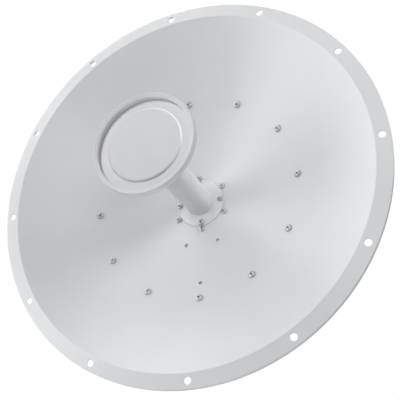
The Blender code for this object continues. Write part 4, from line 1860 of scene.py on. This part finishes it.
@dataclass
class PoleClamp:
    """Two notched jaws behind the pole and the four long bolts that draw them on."""

    half_width: float = 0.0520
    depth: float = 0.0220
    shoulder: float = 0.0077
    thickness: float = 0.0280
    level: float = 0.0450
    notch_half: float = 0.0260
    notch_depth: float = 0.0140
    back: float = 0.0614
    bolt_offset: float = 0.0400
    bolt_hole: float = 0.0043
    plate_front: float = 0.0063

    def jaw(self, level: float) -> bmesh.types.BMesh:
        """Cast jaw with a notch for the pole and its bolt holes.

        Args:
            level: 1 for the upper jaw and -1 for the lower one.

        Returns:
            The jaw, in the frame of the solids.
        """
        middle = level * self.level
        half = self.thickness / 2.0
        front = self.back - self.depth
        form = slab((-self.half_width, front, middle - half), (self.half_width, self.back, middle + half))
        corners = [edge for edge in form.edges if max(end.co.y for end in edge.verts) < front + 0.001
                   and abs(edge.verts[0].co.z - edge.verts[1].co.z) > half]
        rounded(form, corners, self.shoulder, 1)
        notch = bmesh.new()
        bmesh.ops.create_cone(notch, cap_ends=True, segments=4, radius1=1.0, radius2=1.0, depth=1.0,
                              matrix=Matrix.Rotation(math.pi / 4.0, 4, "Z"))
        bmesh.ops.rotate(notch, verts=notch.verts[:], cent=(0.0, 0.0, 0.0),
                         matrix=Matrix.Rotation(math.pi / 4.0, 3, "Z"))
        bmesh.ops.scale(notch, verts=notch.verts[:],
                        vec=(self.notch_half, self.notch_depth, self.thickness * 2.0))
        bmesh.ops.translate(notch, verts=notch.verts[:], vec=(0.0, front, middle))
        form = cut_with(form, notch)
        along = Vector((0.0, 1.0, 0.0))
        holes = joined([placed(drill_bit(self.bolt_hole, self.back, front),
                               facing(Vector((side * self.bolt_offset, 0.0, middle)), along))
                        for side in SIDES])
        return eased(cut_with(form, holes), 0.0010, 40.0)

    def bolt(self, side: float, level: float) -> bmesh.types.BMesh:
        """Long clamp bolt, head in front of the mast plate.

        Args:
            side: -1 for the left and 1 for the right.
            level: -1 for the lower and 1 for the upper.

        Returns:
            The bolt, in the frame of the solids.
        """
        bolt = HexBolt(radius=0.0040, corner=0.0074, head=0.0060, grip=self.plate_front + self.back + GAP,
                       tail=0.0080, pitch=0.00125, nut=0.0060)
        origin = Vector((side * self.bolt_offset, -self.plate_front, level * self.level))
        return placed(bolt.build(), facing(origin, Vector((0.0, -1.0, 0.0))))

    def build(self, workshop: Workshop) -> None:
        """Build the jaws and the bolts.

        Args:
            workshop: Makes the finished pieces.
        """
        for level, name in ((1.0, "upper"), (-1.0, "lower")):
            workshop.piece("jaw_%s_cast" % name, self.jaw(level), CAST_METAL, ["jaw_" + name], sharp=20.0)
            for side, side_name in ((-1.0, "left"), (1.0, "right")):
                workshop.piece("clamp_%s_%s_hex" % (side_name, name), self.bolt(side, level), STAINLESS,
                               ["clamp_bolt_%s_%s" % (side_name, name)])


DISC = ("subreflector_cup_shell", "subreflector_cap_disc")
STEM = ("feed_tapered_tube", "feed_flared_cone")


@dataclass(frozen=True)
class Lamp:
    """A soft area light aimed at the dish, which can be kept to some pieces or off others."""

    name: str
    azimuth: float
    elevation: float
    power: float
    size: float = 1.8
    reach: float = 2.6
    aim: tuple[float, float, float] = (0.0, -0.20, 0.0)
    only: Sequence[str] = ()
    never: Sequence[str] = ()
    highlight: bool = True

    def place(self) -> Matrix:
        """Where the lamp stands, turned towards its aim.

        Returns:
            The place.
        """
        turn = math.radians(self.azimuth)
        rise = math.radians(self.elevation)
        away = Vector((math.sin(turn) * math.cos(rise), -math.cos(turn) * math.cos(rise), math.sin(rise)))
        return facing(Vector(self.aim) + away * self.reach, away)

    def light(self) -> None:
        """Add the lamp to the scene."""
        source = bpy.data.lights.new(self.name, "AREA")
        source.shape = "DISK"
        source.size = self.size
        source.energy = self.power
        holder = bpy.data.objects.new(self.name, source)
        holder.matrix_world = self.place()
        holder.visible_camera = False
        holder.visible_glossy = self.highlight
        bpy.context.scene.collection.objects.link(holder)
        if self.only or self.never:
            self.restrict(holder)

    def restrict(self, holder: bpy.types.Object) -> None:
        """Let the lamp light only some pieces, shaded by no other, or all but some.

        Args:
            holder: The light's object.
        """
        lit = bpy.data.collections.new(self.name + "_pieces")
        for piece in (*self.only, *self.never):
            lit.objects.link(bpy.data.objects[piece])
        holder.light_linking.receiver_collection = lit
        if self.only:
            holder.light_linking.blocker_collection = lit
        for entry in lit.collection_objects:
            entry.light_linking.link_state = "EXCLUDE" if self.never else "INCLUDE"


@dataclass
class Studio:
    """Floor, world, lamps and camera."""

    floor_height: float = -1.30
    floor_size: float = 40.0
    floor_clear: float = 1.6
    floor_fade: float = 4.5
    floor_glow: float = 0.40
    lens: float = 53.15
    shift: tuple[float, float] = (-0.0255, 0.1460)
    eye: tuple[float, float, float] = (0.3131, -0.9841, -0.4284)
    right: tuple[float, float, float] = (0.93645, 0.34596, -0.05809)
    up: tuple[float, float, float] = (0.16690, -0.29373, 0.94121)
    mirrored: float = 0.25
    lamps: Sequence[Lamp] = (
        Lamp("left_front", -50.0, 0.0, 20.7, 1.3, never=DISC),
        Lamp("right_front", 30.0, 0.0, 11.7, 1.3, never=DISC),
        Lamp("left_side", -80.0, 20.0, 16.5, 1.3, never=DISC),
        Lamp("right_side", 60.0, 20.0, 14.5, 1.3, never=DISC),
        Lamp("left_high", -80.0, 42.0, 15.7, 1.3, never=DISC),
        Lamp("left_key", -50.0, 42.0, 7.3, 1.3, never=DISC),
        Lamp("front_high", 0.0, 42.0, 9.6, 1.3, never=DISC),
        Lamp("left_top", -50.0, 68.0, 15.6, 1.3, never=DISC),
        Lamp("disc_front", -28.0, 34.0, 58.0, 1.3, only=DISC, highlight=False),
        Lamp("feed_side", 92.0, 36.0, 30.0, 0.9, only=STEM),
        Lamp("cap_side", 74.0, 34.0, 60.0, 0.9, only=DISC[1:]),
        Lamp("cup_side", 84.0, 36.0, 26.0, 0.9, only=DISC[:1]),
        Lamp("rear_left", -145.0, 35.0, 20.0, 1.8),
        Lamp("rear_right", 150.0, 40.0, 30.0, 1.8),
    )

    def camera(self) -> None:
        """Place the camera at the photograph's angle."""
        data = bpy.data.cameras.new("camera")
        data.lens = self.lens
        data.sensor_width = 36.0
        data.shift_x, data.shift_y = self.shift
        data.clip_start = 0.01
        camera = bpy.data.objects.new("camera", data)
        right = Vector(self.right).normalized()
        back = right.cross(Vector(self.up)).normalized()
        up = back.cross(right)
        turn = Matrix((right, up, back)).transposed().to_4x4()
        camera.matrix_world = Matrix.Translation(self.eye) @ turn
        bpy.context.scene.collection.objects.link(camera)
        bpy.context.scene.camera = camera

    def world(self) -> None:
        """Show white to the camera and pale grey in reflections, and give no other light."""
        world = bpy.data.worlds.new("studio")
        world.use_nodes = True
        bpy.context.scene.world = world
        wiring = Wiring(world.node_tree)
        shader = world.node_tree.nodes["Background"]
        path = wiring.node("ShaderNodeLightPath")
        shader.inputs["Color"].default_value = BACKDROP_TINT
        mirrored = wiring.math("MULTIPLY", path.outputs["Is Glossy Ray"], self.mirrored)
        strength = wiring.blend(path.outputs["Is Camera Ray"], mirrored, BACKDROP)
        wiring.feed(shader.inputs["Strength"], strength)

    def floor(self) -> None:
        """Lay a plain pale floor that fades into the backdrop."""
        form = bmesh.new()
        bmesh.ops.create_grid(form, x_segments=1, y_segments=1, size=self.floor_size / 2.0,
                              matrix=Matrix.Translation((0.0, 0.0, self.floor_height)))
        mesh = as_mesh(form, "floor")
        floor = bpy.data.objects.new("floor", mesh)
        bpy.context.scene.collection.objects.link(floor)
        paper = bpy.data.materials.new("pale_floor")
        paper.use_nodes = True
        wiring = Wiring(paper.node_tree)
        shader = paper.node_tree.nodes["Principled BSDF"]
        shader.inputs["Base Color"].default_value = (0.88, 0.89, 0.90, 1.0)
        shader.inputs["Roughness"].default_value = 0.8
        glow = wiring.node("ShaderNodeEmission")
        glow.inputs["Color"].default_value = BACKDROP_TINT
        seen = wiring.node("ShaderNodeLightPath").outputs["Is Camera Ray"]
        wiring.feed(glow.inputs["Strength"], wiring.blend(seen, self.floor_glow, BACKDROP))
        position = wiring.node("ShaderNodeTexCoord").outputs["Object"]
        away = wiring.node("ShaderNodeVectorMath", operation="LENGTH")
        wiring.feed(away.inputs[0], position)
        mix = wiring.node("ShaderNodeMixShader")
        wiring.feed(mix.inputs[0], wiring.spread(away.outputs["Value"], self.floor_clear, self.floor_fade))
        wiring.feed(mix.inputs[1], shader.outputs[0])
        wiring.feed(mix.inputs[2], glow.outputs[0])
        wiring.feed(paper.node_tree.nodes["Material Output"].inputs["Surface"], mix.outputs[0])
        mesh.materials.append(paper)

    def build(self) -> None:
        """Set up the whole studio."""
        bpy.context.scene.view_settings.view_transform = "Standard"
        self.camera()
        self.world()
        self.floor()
        for lamp in self.lamps:
            lamp.light()


def main() -> None:
    """Load the solids, build the looks round them and report."""
    logging.basicConfig(level=logging.INFO, format="%(name)s: %(message)s")
    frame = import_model()
    workshop = Workshop()
    for assembly in (Reflector(), Feed(), SubReflector(), FrontScrews(), BackingRing(), FeedRear(),
                     RadioCradle(), RearFrame(), TiltBracket(), PoleClamp()):
        LOG.info("building %s", type(assembly).__name__)
        assembly.build(workshop)
    left = [name for name, node in frame["nodes"].items() if not node.hide_render]
    LOG.info("%d pieces, solids still shown: %s", workshop.count, ", ".join(left) or "none")
    Studio().build()


if __name__ == "__main__":
    main()
